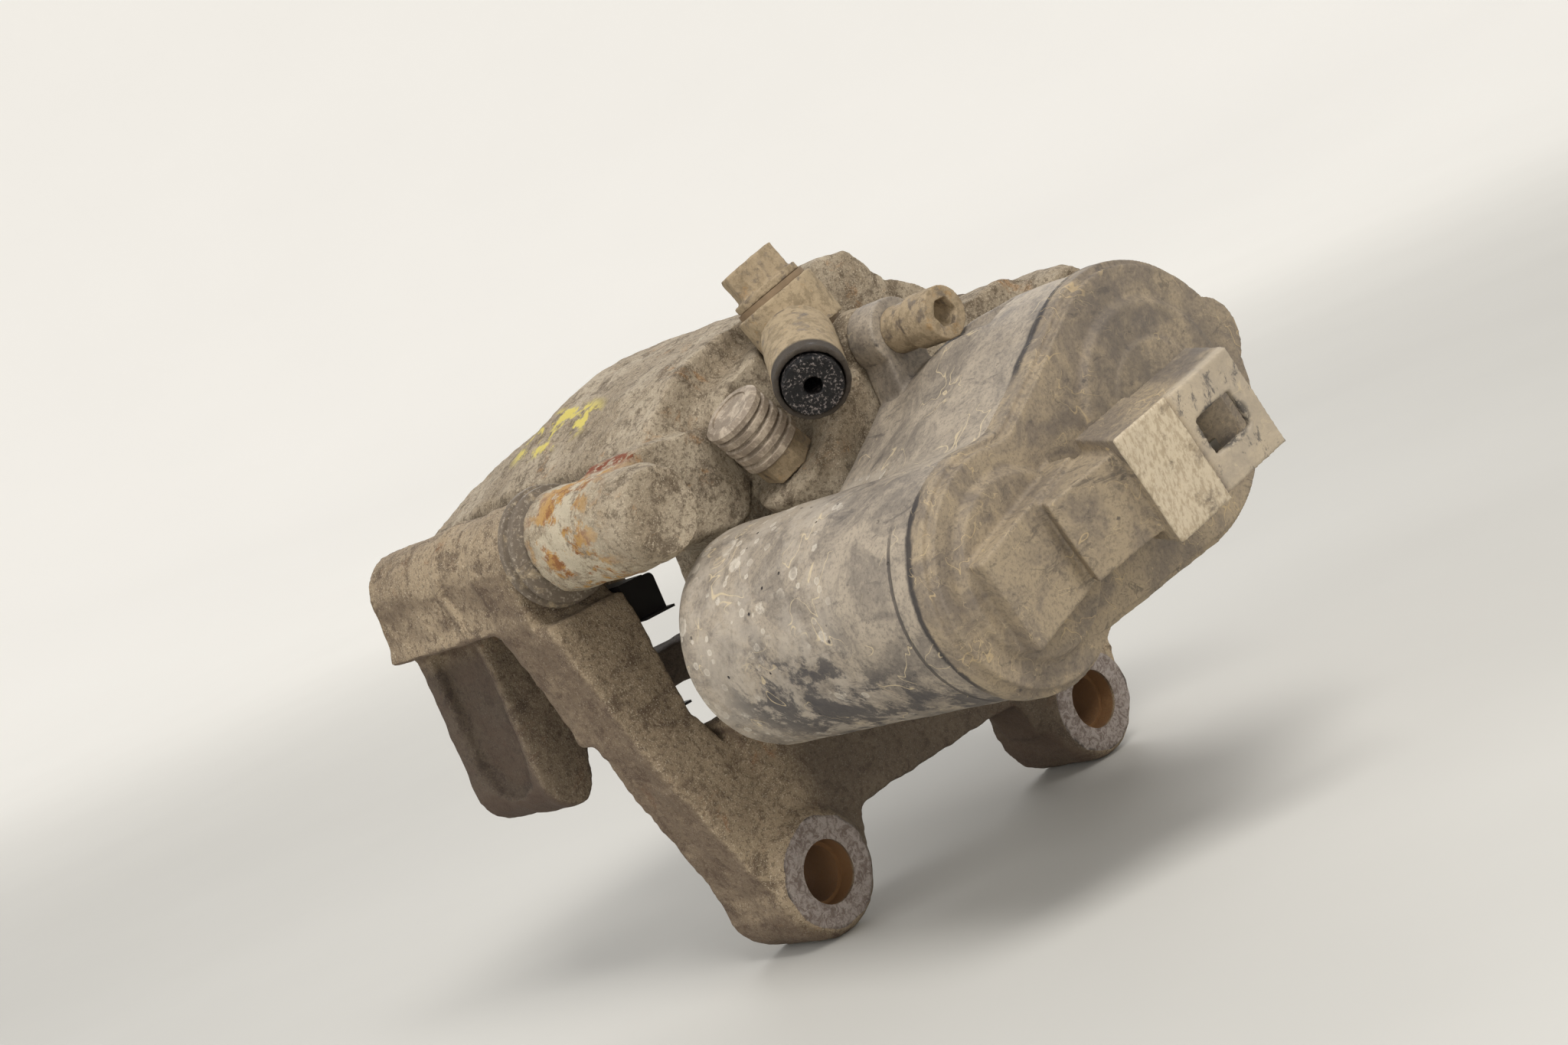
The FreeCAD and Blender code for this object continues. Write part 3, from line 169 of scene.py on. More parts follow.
class Graph:
    """Short words for building a material out of nodes. Textures use the object's own coordinates."""

    def __init__(self, name):
        self.material = bpy.data.materials.new(name)
        self.material.use_nodes = True
        self.tree = self.material.node_tree
        self.shader = self.tree.nodes["Principled BSDF"]
        self.place = self.tree.nodes.new("ShaderNodeTexCoord").outputs["Object"]

    def link(self, value, socket):
        if isinstance(value, bpy.types.NodeSocket):
            self.tree.links.new(value, socket)
        elif isinstance(value, (tuple, list)):
            alpha = (1.0,) if len(value) < len(socket.default_value) else ()
            socket.default_value = tuple(value) + alpha
        else:
            socket.default_value = value

    def noise(self, size_mm, detail=4.0, rough=0.55, warp=0.0, stretch=None):
        node = self.tree.nodes.new("ShaderNodeTexNoise")
        node.inputs["Scale"].default_value = 1.0 / (size_mm * MM)
        node.inputs["Detail"].default_value = detail
        node.inputs["Roughness"].default_value = rough
        node.inputs["Distortion"].default_value = warp
        self.tree.links.new(self.stretched(stretch) if stretch else self.place, node.inputs["Vector"])
        return node.outputs["Fac"]

    def cells(self, size_mm, output="Distance"):
        node = self.tree.nodes.new("ShaderNodeTexVoronoi")
        node.inputs["Scale"].default_value = 1.0 / (size_mm * MM)
        self.tree.links.new(self.place, node.inputs["Vector"])
        return node.outputs[output]

    def stretched(self, factors):
        node = self.tree.nodes.new("ShaderNodeMapping")
        node.inputs["Scale"].default_value = factors
        self.tree.links.new(self.place, node.inputs["Vector"])
        return node.outputs["Vector"]

    def calc(self, operation, a, b=0.0):
        node = self.tree.nodes.new("ShaderNodeMath")
        node.operation = operation
        self.link(a, node.inputs[0])
        self.link(b, node.inputs[1])
        return node.outputs[0]

    def both(self, a, b):
        """The product: how far two masks hold together, or a mask turned down by a factor."""
        return self.calc("MULTIPLY", a, b)

    def band(self, value, low, high):
        """0 below low, 1 above high, smooth between."""
        node = self.tree.nodes.new("ShaderNodeMapRange")
        node.interpolation_type = "SMOOTHSTEP"
        self.link(value, node.inputs["Value"])
        node.inputs["From Min"].default_value = low
        node.inputs["From Max"].default_value = high
        return node.outputs["Result"]

    def blend(self, amount, a, b):
        node = self.tree.nodes.new("ShaderNodeMix")
        node.data_type = "RGBA"
        self.link(amount, node.inputs[0])
        self.link(a, node.inputs[MIX_A])
        self.link(b, node.inputs[MIX_B])
        return node.outputs[MIX_COLOR]

    def axis(self, letter):
        node = self.tree.nodes.new("ShaderNodeSeparateXYZ")
        self.tree.links.new(self.place, node.inputs[0])
        return node.outputs["XYZ".index(letter)]

    def vector(self, operation, source, value=None):
        """A vector operation on a socket, with a fixed second value where it takes one."""
        node = self.tree.nodes.new("ShaderNodeVectorMath")
        node.operation = operation
        self.tree.links.new(source, node.inputs[0])
        if value is not None:
            node.inputs[1].default_value = value
        return node.outputs

    def facing(self, way):
        """How far the surface faces along a direction in the row frame, from -1 to 1."""
        normal = self.tree.nodes.new("ShaderNodeNewGeometry").outputs["Normal"]
        return self.vector("DOT_PRODUCT", normal, Vector(way).normalized())["Value"]

    def along(self, way, start_mm):
        """Distance in metres along a direction from a place in the row frame."""
        shift = self.vector("SUBTRACT", self.place, Vector(start_mm) * MM)["Vector"]
        return self.vector("DOT_PRODUCT", shift, Vector(way).normalized())["Value"]

    def pointed(self):
        """Above 0.5 on convex edges, below 0.5 in corners."""
        return self.tree.nodes.new("ShaderNodeNewGeometry").outputs["Pointiness"]

    def strand(self, size_mm, width, keep_mm):
        """Thin wandering hairs: narrow contour lines of a noise, broken up by another."""
        line = self.calc("ABSOLUTE", self.calc("SUBTRACT", self.noise(size_mm, 2.0, 0.5, 0.6), 0.5))
        kept = self.band(self.noise(keep_mm, 2.0, 0.5), 0.50, 0.56)
        return self.both(self.band(line, width, width * 0.4), kept)

    def near(self, spot_mm, inner, outer, squeeze=(1.0, 1.0, 1.0)):
        """1 within inner mm of a spot, 0 beyond outer mm."""
        shift = self.vector("SUBTRACT", self.place, Vector(spot_mm) * MM)["Vector"]
        squash = self.vector("MULTIPLY", shift, squeeze)["Vector"]
        return self.band(self.vector("LENGTH", squash)["Value"], outer * MM, inner * MM)

    def finish(self, color, rough, bumps, metal=0.0, specular=0.35):
        self.link(color, self.shader.inputs["Base Color"])
        self.link(rough, self.shader.inputs["Roughness"])
        self.link(metal, self.shader.inputs["Metallic"])
        self.shader.inputs["Specular IOR Level"].default_value = specular
        normal = None
        for height, depth_mm in bumps:
            bump = self.tree.nodes.new("ShaderNodeBump")
            bump.inputs["Strength"].default_value = 1.0
            bump.inputs["Distance"].default_value = depth_mm * MM
            self.link(height, bump.inputs["Height"])
            if normal is not None:
                self.tree.links.new(normal, bump.inputs["Normal"])
            normal = bump.outputs["Normal"]
        if normal is not None:
            self.tree.links.new(normal, self.shader.inputs["Normal"])
        return self.material


def srgb(red, green, blue):
    """Linear colour from 0..255 display values."""
    def channel(value):
        value /= 255.0
        return value / 12.92 if value <= 0.04045 else ((value + 0.055) / 1.055) ** 2.4
    return (channel(red), channel(green), channel(blue))


def floor_material():
    g = Graph("pale_floor")
    tone = g.blend(g.noise(160.0, 5.0, 0.6), srgb(184, 182, 176), srgb(192, 190, 184))
    lift = g.near((0.0, 0.0, 0.0), 2200.0, 350.0)
    g.link(srgb(244, 240, 233), g.shader.inputs["Emission Color"])
    g.link(g.both(lift, 0.62), g.shader.inputs["Emission Strength"])
    return g.finish(tone, 0.6, [(g.noise(1.2, 2.0, 0.5), 0.01)], specular=0.2)


def cast_iron(name, base, pale, dark, rust, rust_amount):
    """Rough cast iron under road dirt: painted shade in corners, dusty edges, freckles of rust."""
    g = Graph(name)
    broad = g.noise(24.0, 6.0, 0.66, 0.8)
    medium = g.noise(5.0, 7.0, 0.7, 0.6)
    grain = g.noise(1.0, 6.0, 0.75)
    fine = g.noise(0.3, 3.0, 0.6)
    color = g.blend(g.band(broad, 0.40, 0.62), base, pale)
    color = g.blend(g.both(g.band(medium, 0.50, 0.62), 0.7), color, dark)
    color = g.blend(g.both(g.band(g.noise(1.8, 7.0, 0.75, 0.8), 0.54, 0.64), 0.6), color, pale)
    spots = g.band(g.noise(10.0, 7.0, 0.75, 0.7), 0.60 - rust_amount, 0.74 - rust_amount)
    spots = g.both(spots, 0.75)
    color = g.blend(spots, color, rust)
    color = g.blend(g.both(g.band(grain, 0.49, 0.60), 0.6), color, dark)
    color = g.blend(g.both(g.band(fine, 0.56, 0.66), 0.6), color, srgb(202, 188, 164))
    # painted shade: concave corners (low pointiness) are darkened almost to black
    color = g.blend(g.both(g.band(g.pointed(), 0.48, 0.40), 0.85), color, tuple(c * 0.45 for c in dark))
    color = g.blend(g.both(g.band(g.pointed(), 0.54, 0.62), 0.45), color, pale)
    rough = g.calc("ADD", 0.66, g.both(medium, 0.28))
    return g, color, rough, [(g.noise(3.4, 6.0, 0.7), 0.7), (grain, 0.45), (fine, 0.14)]


def carrier_material():
    base, pale, dark = srgb(138, 121, 98), srgb(160, 142, 116), srgb(82, 66, 52)
    g, color, rough, bumps = cast_iron("carrier_dirt", base, pale, dark, srgb(132, 86, 50), 0.02)
    outboard = g.band(g.axis("Y"), 38 * MM, 46 * MM)
    # painted shade: the outboard leg below the bridge is darkened
    painted_shade_outboard_leg = g.both(outboard, g.band(g.axis("Z"), 66 * MM, 60 * MM))
    color = g.blend(g.both(painted_shade_outboard_leg, 0.8), color, srgb(58, 48, 42))
    across = g.calc("ABSOLUTE", g.axis("X"))
    # painted shade: the low middle of the carrier, around the crossbar, is darkened
    painted_shade_crossbar = g.both(g.band(across, 40 * MM, 30 * MM), g.band(g.axis("Z"), 34 * MM, 26 * MM))
    color = g.blend(g.both(painted_shade_crossbar, 0.7), color, srgb(70, 60, 52))
    # painted shade: faces that turn downwards are darkened
    painted_shade_underside = g.band(g.facing((-0.5, 0.3, -0.8)), 0.30, 0.75)
    color = g.blend(g.both(painted_shade_underside, 0.6), color, srgb(84, 66, 54))
    face = g.both(g.band(g.facing((0, -1, 0)), 0.86, 0.96), g.band(g.axis("Y"), 0.9 * MM, 0.2 * MM))
    metal = g.blend(g.band(g.noise(1.6, 7.0, 0.75, 1.0), 0.42, 0.60), srgb(158, 148, 140), srgb(112, 98, 90))
    color = g.blend(face, color, metal)
    for x in (-KNUCKLE_X, KNUCKLE_X):
        hole = g.near((x, 8.0, 0.0), 6.4, 6.8, (1.0, 0.0, 1.0))
        wall = g.both(hole, g.band(g.axis("Y"), 0.2 * MM, 1.0 * MM))
        color = g.blend(wall, color, srgb(126, 92, 58))
        rim = g.near((x, 0.0, 0.0), 11.6, 12.2, (1.0, 1.0, 1.0))
        inner = g.near((x, 0.0, 0.0), 10.2, 11.2, (1.0, 1.0, 1.0))
        patchy = g.band(g.noise(3.0, 4.0, 0.6), 0.40, 0.55)
        ring = g.both(g.both(g.calc("SUBTRACT", rim, inner), face), patchy)
        color = g.blend(ring, color, srgb(50, 44, 42))
    return g.finish(color, rough, bumps)


def housing_material():
    base, pale, dark = srgb(144, 129, 107), srgb(172, 158, 136), srgb(84, 70, 54)
    g, color, rough, bumps = cast_iron("housing_dirt", base, pale, dark, srgb(158, 112, 60), 0.03)
    near = g.near((-60.0, -3.0, 77.0), 10.0, 15.0, (1.0, 0.8, 1.0))
    crust = g.both(near, g.band(g.noise(5.0, 8.0, 0.78, 0.3), 0.44, 0.52))
    color = g.blend(g.both(crust, 0.8), color, srgb(196, 184, 160))
    rust = g.blend(g.band(g.noise(2.5, 6.0, 0.7), 0.45, 0.58), srgb(176, 136, 76), srgb(134, 88, 50))
    color = g.blend(g.both(near, g.band(g.noise(7.0, 8.0, 0.72, 0.2), 0.49, 0.55)), color, rust)
    edge = g.near((-54.5, -4.0, 88.3), 1.0, 2.2, (0.75, 0.14, 1.0))
    color = g.blend(g.both(edge, g.band(g.noise(2.0, 5.0, 0.7), 0.42, 0.52)), color, srgb(122, 62, 34))
    paint = g.near((-33.0, 36.0, 97.0), 7.0, 11.0, (1.3, 0.6, 1.0))
    daub = g.band(g.noise(8.0, 5.0, 0.6, 0.2), 0.50, 0.56)
    color = g.blend(g.both(paint, daub), color, srgb(204, 188, 98))
    return g.finish(color, rough, bumps)


def plastic(name, base, dust, dark):
    """Grey moulded plastic under dust: rubbed dark edges, hairs, scuffs and specks."""
    g = Graph(name)
    film = g.noise(11.0, 8.0, 0.72, 0.7)
    fine = g.noise(0.7, 5.0, 0.7)
    color = g.blend(g.band(film, 0.38, 0.60), base, dust)
    color = g.blend(g.both(g.band(g.noise(2.4, 7.0, 0.75, 0.5), 0.50, 0.64), 0.45), color, dust)
    color = g.blend(g.both(g.band(fine, 0.48, 0.62), 0.35), color, dark)
    scuff = g.band(g.noise(6.0, 8.0, 0.75, 1.0, (1.0, 0.5, 1.8)), 0.56, 0.64)
    color = g.blend(g.both(scuff, 0.55), color, dark)
    edges = g.both(g.band(g.pointed(), 0.54, 0.62), g.band(g.noise(6.0, 5.0, 0.65), 0.48, 0.58))
    color = g.blend(g.both(edges, 0.8), color, dark)
    # painted shade: concave corners (low pointiness) are darkened
    color = g.blend(g.both(g.band(g.pointed(), 0.47, 0.38), 0.5), color, srgb(96, 82, 66))
    wander = g.both(g.calc("SUBTRACT", g.noise(7.0, 4.0, 0.6), 0.5), 2.4 * MM)
    from_seam = g.calc("ABSOLUTE", g.calc("ADD", g.along((0, 1, 0), (0.0, LID_SEAM_Y, 0.0)), wander))
    seam = g.band(from_seam, 1.5 * MM, 0.7 * MM)
    by_motor = g.near((-63.0, -78.0, 50.0), 15.0, 22.0)
    by_tower = g.near((-10.0, -78.0, 86.0), 16.0, 22.0)
    places = g.calc("MAXIMUM", by_motor, by_tower)
    color = g.blend(g.both(g.both(seam, places), 0.9), color, srgb(44, 41, 42))
    return g, color, [(fine, 0.07), (film, 0.14)], film


def case_material():
    base, dust, dark = srgb(118, 109, 98), srgb(156, 144, 127), srgb(70, 65, 63)
    g, color, bumps, film = plastic("case_plastic", base, dust, dark)
    tube = g.near((-44.3, -40.0, 47.9), 23.0, 26.0, (1.0, 0.5, 1.0))
    tube = g.both(tube, g.band(g.axis("Y"), -62 * MM, -52 * MM))
    bleached = g.both(g.band(g.noise(9.0, 6.0, 0.7), 0.42, 0.58), 0.6)
    color = g.blend(g.both(tube, bleached), color, srgb(166, 156, 142))
    rough_edge = g.both(g.noise(1.4, 5.0, 0.7), 0.28)
    crowd = g.band(g.noise(13.0, 3.0, 0.5), 0.44, 0.56)
    for scale, radius in ((7.5, 0.34), (4.4, 0.36), (2.6, 0.38)):
        cell = g.calc("ADD", g.cells(scale), rough_edge)
        picked = g.band(g.cells(scale, output="Color"), 0.50, 0.52)
        ring = g.band(g.calc("ABSOLUTE", g.calc("SUBTRACT", cell, radius)), 0.07, 0.02)
        spot = g.calc("MAXIMUM", ring, g.both(g.band(cell, radius, radius - 0.05), 0.55))
        spot = g.both(g.both(spot, picked), g.both(tube, g.both(crowd, 0.5)))
        color = g.blend(spot, color, srgb(206, 197, 182))
    pit = g.both(g.band(g.cells(3.6), 0.10, 0.06), g.band(g.cells(3.6, output="Color"), 0.5, 0.55))
    color = g.blend(g.both(pit, tube), color, srgb(46, 42, 41))
    worn = g.near((-62.0, -43.0, 38.0), 7.0, 17.0, (0.9, 0.6, 1.0))
    below = g.near((-58.0, -52.0, 30.0), 8.0, 20.0, (0.9, 0.5, 1.0))
    worn = g.both(g.calc("MAXIMUM", worn, below), g.band(g.noise(7.0, 8.0, 0.75, 0.3), 0.46, 0.56))
    color = g.blend(g.both(worn, 0.85), color, srgb(60, 57, 58))
    color = g.blend(g.both(g.strand(9.0, 0.008, 16.0), 0.6), color, srgb(198, 180, 146))
    line = g.near((0.0, -73.4, 0.0), 0.2, 0.5, (0.0, 1.0, 0.0))
    line = g.both(line, g.near((-64.0, -74.0, 42.0), 16.0, 24.0))
    color = g.blend(g.both(line, 0.8), color, srgb(60, 55, 52))
    rough = g.calc("ADD", 0.52, g.both(film, 0.3))
    return g.finish(color, rough, bumps + [(pit, -0.25), (line, -0.2)])


def lid_material():
    g, color, bumps, film = plastic("lid_plastic", srgb(112, 101, 88), srgb(146, 131, 108), srgb(70, 64, 59))
    color = g.blend(g.both(g.strand(6.5, 0.007, 12.0), 0.5), color, srgb(182, 160, 120))
    color = g.blend(g.both(g.strand(4.2, 0.006, 9.0), 0.45), color, srgb(184, 164, 128))
    # darker, in patches, around the valley at (2, -84, 66)
    valley = g.near((2.0, -84.0, 66.0), 14.0, 24.0, (1.0, 0.3, 1.0))
    valley_darkening = g.both(g.band(g.noise(9.0, 6.0, 0.7), 0.38, 0.56), 0.6)
    color = g.blend(g.both(valley, valley_darkening), color, srgb(84, 77, 71))
    out = g.along(CONNECTOR_OUT, CONNECTOR)
    deep = g.along(CONNECTOR_DEEP, CONNECTOR)
    collar = g.both(g.band(out, 11.4 * MM, 10.6 * MM), g.band(deep, -0.3 * MM, -0.55 * MM))
    collar = g.both(collar, g.band(g.noise(5.0, 6.0, 0.7), 0.34, 0.46))
    scrapes = g.band(g.noise(1.6, 6.0, 0.7, 0.0, (3.0, 1.0, 1.0)), 0.44, 0.60)
    scraped = g.blend(scrapes, srgb(188, 174, 150), srgb(160, 145, 121))
    color = g.blend(g.both(collar, 0.85), color, scraped)
    shell = g.both(g.band(out, 10.6 * MM, 12.0 * MM), g.band(deep, 3.0 * MM, 1.0 * MM))
    color = g.blend(g.both(shell, 0.45), color, srgb(190, 177, 156))
    scratches = g.band(g.noise(2.2, 7.0, 0.75, 0.4, (1.0, 1.0, 0.45)), 0.54, 0.62)
    color = g.blend(g.both(shell, g.both(scratches, 0.8)), color, srgb(78, 74, 72))
    window = g.near((-14.8, -108.0, 56.6), 4.6, 5.6, (1.0, 1.0, 1.25))
    scraps = g.both(g.band(g.noise(1.6, 5.0, 0.7), 0.42, 0.52), 0.8)
    color = g.blend(g.both(window, scraps), color, srgb(58, 55, 53))
    rough = g.calc("ADD", 0.55, g.both(film, 0.3))
    return g.finish(color, rough, bumps)


def steel(name, base, dirt, amount, metal, rough, black_rim=None):
    g = Graph(name)
    film = g.noise(4.0, 6.0, 0.7, 0.3)
    cover = g.band(film, 0.66 - amount, 0.78 - amount)
    color = g.blend(cover, base, dirt)
    grains = g.both(g.band(g.noise(0.9, 5.0, 0.7), 0.5, 0.66), 0.4)
    color = g.blend(grains, color, srgb(104, 88, 68))
    clumps = g.both(g.band(g.noise(2.6, 6.0, 0.72), 0.48, 0.60), 0.6)
    color = g.blend(g.both(cover, clumps), color, srgb(112, 98, 76))
    rusty = g.both(g.band(g.noise(6.0, 6.0, 0.72), 0.60, 0.68), 0.4)
    color = g.blend(g.both(cover, rusty), color, srgb(152, 116, 66))
    # painted shade: concave corners (low pointiness) are darkened
    color = g.blend(g.both(g.band(g.pointed(), 0.47, 0.38), 0.7), color, srgb(64, 54, 44))
    bare = g.calc("SUBTRACT", 1.0, cover)
    if black_rim:
        rim = g.near(black_rim, 7.7, 8.3)
        color = g.blend(g.both(rim, 0.9), color, srgb(38, 34, 33))
        bare = g.both(bare, g.calc("SUBTRACT", 1.0, rim))
    bumps = [(g.noise(2.2, 5.0, 0.7), 0.25), (g.noise(0.7, 5.0, 0.7), 0.15)]
    return g.finish(color, g.calc("ADD", rough, g.both(cover, 0.35)), bumps, g.both(bare, metal))


def rubber(name, base, dust, amount):
    g = Graph(name)
    cover = g.band(g.noise(5.0, 6.0, 0.7, 0.5), 0.66 - amount, 0.80 - amount)
    color = g.blend(cover, base, dust)
    color = g.blend(g.both(g.band(g.noise(0.7, 5.0, 0.7), 0.52, 0.66), 0.4), color, srgb(190, 178, 158))
    # painted shade: concave corners (low pointiness) are darkened
    color = g.blend(g.both(g.band(g.pointed(), 0.47, 0.36), 0.7), color, srgb(58, 50, 44))
    return g.finish(color, 0.6, [(g.noise(1.2, 5.0, 0.65), 0.10)])


def hose_rubber():
    """Black hose rubber whose cut end shows bright broken threads."""
    g = Graph("hose_rubber")
    threads = g.both(g.band(g.noise(0.5, 5.0, 0.75), 0.53, 0.60), g.band(g.noise(2.0, 3.0, 0.6), 0.40, 0.55))
    color = g.blend(threads, srgb(10, 9, 10), srgb(120, 112, 108))
    return g.finish(color, 0.42, [(g.noise(0.5, 5.0, 0.7), 0.35)], specular=0.3)


def plain(name, color, rough, metal=0.0):
    g = Graph(name)
    tone = g.blend(g.band(g.noise(3.0, 4.0, 0.6), 0.4, 0.65), color, tuple(c * 0.82 for c in color))
    return g.finish(tone, rough, [(g.noise(0.8, 3.0, 0.6), 0.02)], metal)


# ------------------------------------------------------------------ shapes

def add_cylinder(bm, start, end, radius):
    """A closed cylinder between two points given in millimetres."""
    a, b = Vector(start) * MM, Vector(end) * MM
    turn = (b - a).to_track_quat("Z", "Y").to_matrix().to_4x4()
    bmesh.ops.create_cone(bm, cap_ends=True, segments=CUTTER_SIDES, radius1=radius * MM, radius2=radius * MM,
                          depth=(b - a).length, matrix=Matrix.Translation((a + b) / 2) @ turn)


def mesh_object(name, mesh):
    item = bpy.data.objects.new(name, mesh)
    scene.collection.objects.link(item)
    return item


def applied(item):
    """Gives an object the mesh that its modifiers make, and removes them."""
    shape = bpy.data.meshes.new_from_object(item.evaluated_get(bpy.context.evaluated_depsgraph_get()))
    old = item.data
    item.modifiers.clear()
    item.data = shape
    bpy.data.meshes.remove(old)
    return item


def skin(name, node, voxel, passes, plugs=()):
    """One closed skin over a CAD node and its plugs, with every corner rounded."""
    bm = bmesh.new()
    bm.from_mesh(nodes[node].data)
    bmesh.ops.remove_doubles(bm, verts=bm.verts, dist=1e-7)
    for plug in plugs:
        add_cylinder(bm, *plug)
    mesh = bpy.data.meshes.new(name)
    bm.to_mesh(mesh)
    bm.free()
    item = mesh_object(name, mesh)
    remesh = item.modifiers.new("skin", "REMESH")
    remesh.mode = "VOXEL"
    remesh.voxel_size = voxel * MM
    if passes:
        smooth = item.modifiers.new("round", "SMOOTH")
        smooth.factor = 0.5
        smooth.iterations = passes
    return applied(item)


def roughen(item, layers, arm_steps=()):
    """Moves points along their normals by layers of (size, depth) noise, in millimetres.

    Each arm step is a place along Y where the guide arms drop by a depth, along a wavy line."""
    mesh = item.data
    count = len(mesh.vertices)
    places = np.empty(count * 3)
    normals = np.empty(count * 3)
    mesh.vertices.foreach_get("co", places)
    mesh.vertices.foreach_get("normal", normals)
    places = places.reshape(-1, 3)
    normals = normals.reshape(-1, 3)
    push = np.zeros(count)
    for size, depth in layers:
        scaled = places / (size * MM)
        push += np.fromiter((noise.noise(point) for point in scaled), float, count) * depth * MM
    arm_foot, fade = 0.066, 0.003
    on_arm = np.clip((places[:, 2] - arm_foot) / fade, 0.0, 1.0)
    wave = 1.1 * MM * np.sin(places[:, 2] / (2.6 * MM)) + 0.7 * MM * np.sin(places[:, 0] / (1.7 * MM))
    for start, depth in arm_steps:
        past = np.clip((places[:, 1] + wave - start * MM) / (0.9 * MM), 0.0, 1.0)
        push -= depth * MM * on_arm * past
    places = places + normals * push[:, None]
    mesh.vertices.foreach_set("co", places.reshape(-1))
    mesh.update()


def cut_clean(item, holes):
    """Cuts true round holes and flats back into a rounded skin; the cutters are cylinders."""
    bm = bmesh.new()
    for hole in holes:
        add_cylinder(bm, *hole)
    mesh = bpy.data.meshes.new("cutters")
    bm.to_mesh(mesh)
    bm.free()
    cutter = mesh_object("cutters", mesh)
    boolean = item.modifiers.new("cut", "BOOLEAN")
    boolean.operation = "DIFFERENCE"
    boolean.solver = "EXACT"
    boolean.use_self = True
    boolean.object = cutter
    applied(item)
    bpy.data.objects.remove(cutter)
    bpy.data.meshes.remove(mesh)


def dress(item, material, body, node, sharp=None):
    """Smooth shading, one material, the body it rides on and the CAD node it stands for."""
    for face in item.data.polygons:
        face.use_smooth = True
    if sharp:
        item.data.set_sharp_from_angle(angle=math.radians(sharp))
    item.data.materials.clear()
    item.data.materials.append(material)
    if body:
        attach(item, body)
    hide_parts(node)


def carrier():
    plugs = []
    for x in (-KNUCKLE_X, KNUCKLE_X):
        plugs.append(((x, 0.05, 0), (x, 19.4, 0), 7.0))
    item = skin("carrier_casting", "carrier_bracket", 0.72, 9, plugs)
    roughen(item, [(14.0, 0.5), (4.5, 0.3), (1.6, 0.16)], [(27.5, 0.55), (39.0, -0.4), (41.5, 0.7)])
    holes = []
    for x in (-KNUCKLE_X, KNUCKLE_X):
        holes.append(((x, -6.0, 0), (x, 4.0, 0), BOLT_MOUTH_R))
        holes.append(((x, -6.0, 0), (x, 26.0, 0), BOLT_THREAD_R))
        holes.append(((x, -12.0, 0), (x, 0.06, 0), SPOT_FACE_R))
    for x in (-PIN_X, PIN_X):
        holes.append(((x, 12.0, PIN_Z), (x, 63.5, PIN_Z), PIN_ARM_R))
    cut_clean(item, holes)
    dress(item, carrier_material(), "carrier", "carrier_bracket", 40)


def housing():
    plugs = [((-PIN_X, -17.0, PIN_Z), (-PIN_X, 8.5, PIN_Z), 5.5),
             ((PIN_X, -20.0, PIN_Z), (PIN_X, 8.5, PIN_Z), 5.5)]
    item = skin("housing_casting", "caliper_housing", 0.74, 7, plugs)
    roughen(item, [(16.0, 0.7), (5.0, 0.4), (1.7, 0.18)])
    holes = [((0, -24.5, PISTON_Z), (0, 30.0, PISTON_Z), PISTON_BORE_R)]
    for x in (-PIN_X, PIN_X):
        holes.append(((x, -17.6, PIN_Z), (x, 12.0, PIN_Z), PIN_EAR_R))
    cut_clean(item, holes)
    dress(item, housing_material(), "housing", "caliper_housing", 40)


def softened(name, node, body, material, voxel, passes, layers=()):
    item = skin(name, node, voxel, passes)
    if layers:
        roughen(item, layers)
    dress(item, material, body, node)
    return item


def paint(node, material):
    shape = nodes[node].data
    shape.materials.clear()
    shape.materials.append(material)


camera()
studio()
floor()
carrier()
housing()

CASE = case_material()
LID = lid_material()
DIRTY_STEEL = steel("dirty_steel", srgb(112, 100, 86), srgb(150, 133, 107), 0.30, 0.35, 0.5)
FITTING_STEEL = steel("fitting_steel", srgb(112, 100, 86), srgb(154, 137, 110), 0.32, 0.35, 0.5,
                      black_rim=(-32.7, -40.2, 87.0))
BRIGHT_STEEL = steel("bright_steel", srgb(178, 174, 168), srgb(120, 108, 92), 0.02, 0.95, 0.28)
BOOT_RUBBER = rubber("boot_rubber", srgb(96, 85, 72), srgb(152, 136, 110), 0.12)
HOSE_RUBBER = hose_rubber()
CAP_RUBBER = rubber("cap_rubber", srgb(126, 113, 98), srgb(166, 152, 134), 0.2)
BLACK_SPRING = plain("black_spring", srgb(28, 27, 27), 0.45)
COPPER = plain("copper", srgb(128, 108, 84), 0.6, 0.3)
ACETAL = plain("acetal", srgb(214, 208, 192), 0.5)
TIN = plain("tin", srgb(190, 186, 176), 0.35, 0.9)
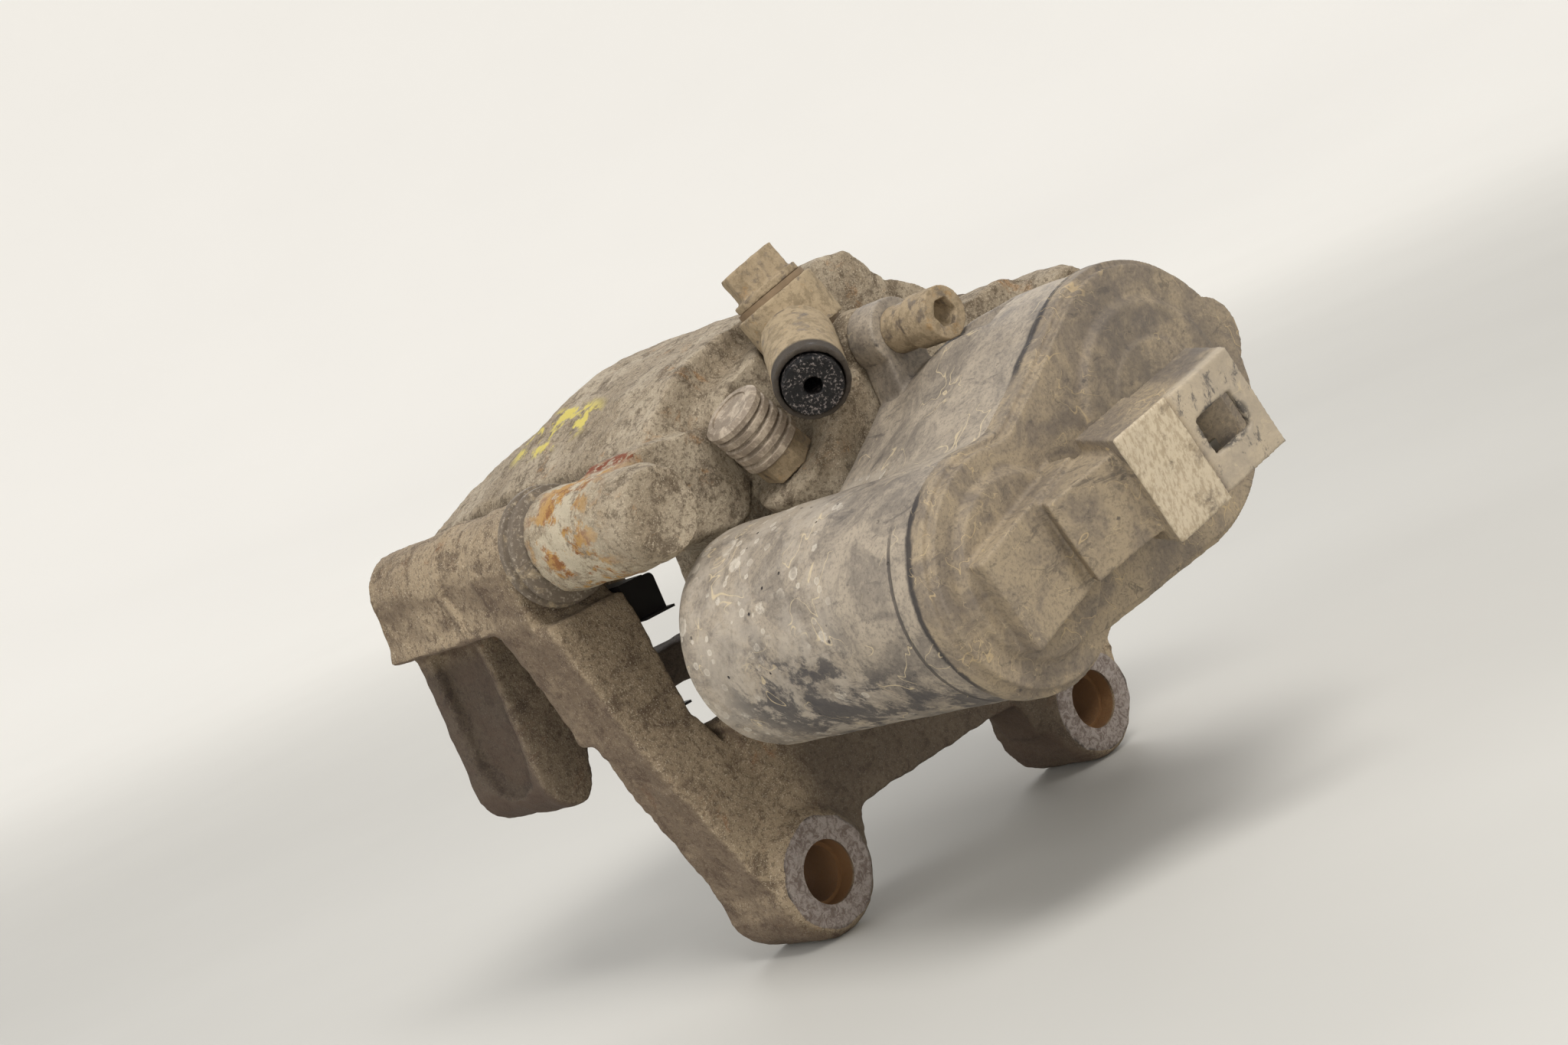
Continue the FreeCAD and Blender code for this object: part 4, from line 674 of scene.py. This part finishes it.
FERRITE = plain("ferrite", srgb(60, 60, 62), 0.6)
WINDING = plain("winding", srgb(150, 96, 58), 0.45, 0.6)

softened("case_moulding", "actuator_case", "housing", CASE, 0.45, 3, [(9.0, 0.25), (2.5, 0.06)])
softened("lid_moulding", "actuator_lid", "housing", LID, 0.36, 1, [(9.0, 0.2), (2.0, 0.05)])
softened("banjo_screw", "banjo_bolt", "housing", DIRTY_STEEL, 0.28, 2, [(3.0, 0.12), (1.5, 0.10)])
softened("hose_end_fitting", "hose_fitting", "housing", FITTING_STEEL, 0.3, 2, [(1.8, 0.12)])
softened("hose_rubber_end", "brake_hose_stub", "housing", HOSE_RUBBER, 0.28, 2)
softened("bleed_fitting", "bleed_screw", "bleed_valve", DIRTY_STEEL, 0.22, 1, [(1.2, 0.05)])
for side, x in (("near", -PIN_X), ("far", PIN_X)):
    boot = softened(f"boot_{side}", f"pin_boot_{side}", None, BOOT_RUBBER, 0.28, 1, [(2.0, 0.08)])
    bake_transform(boot)
softened("screw_pair", "actuator_screws", "housing", DIRTY_STEEL, 0.3, 2, [(1.5, 0.05)])
softened("pin_hex_bolt", "guide_pin_bolt", "housing", DIRTY_STEEL, 0.3, 2)

PAINTED = {
    BLACK_SPRING: ("abutment_clips", "circlip"),
    BRIGHT_STEEL: ("guide_pin_near", "guide_pin_far", "piston", "spindle", "thrust_bearing", "motor_pinion",
                   "idler_axle", "sun_axle"),
    COPPER: ("banjo_washers",),
    CAP_RUBBER: ("bleed_cap",),
    HOSE_RUBBER: ("piston_seal", "spindle_seal", "actuator_seal"),
    BOOT_RUBBER: ("piston_boot",),
    DIRTY_STEEL: ("spindle_nut",),
    TIN: ("connector_terminals", "motor_can"),
    ACETAL: ("idler_gear", "sun_gear", "planet_gear_a", "planet_gear_b", "planet_gear_c", "output_drive",
             "ring_gear", "motor_end_cap"),
    FERRITE: ("motor_magnets",),
    WINDING: ("motor_armature",),
}
for material, painted in PAINTED.items():
    for node in painted:
        paint(node, material)
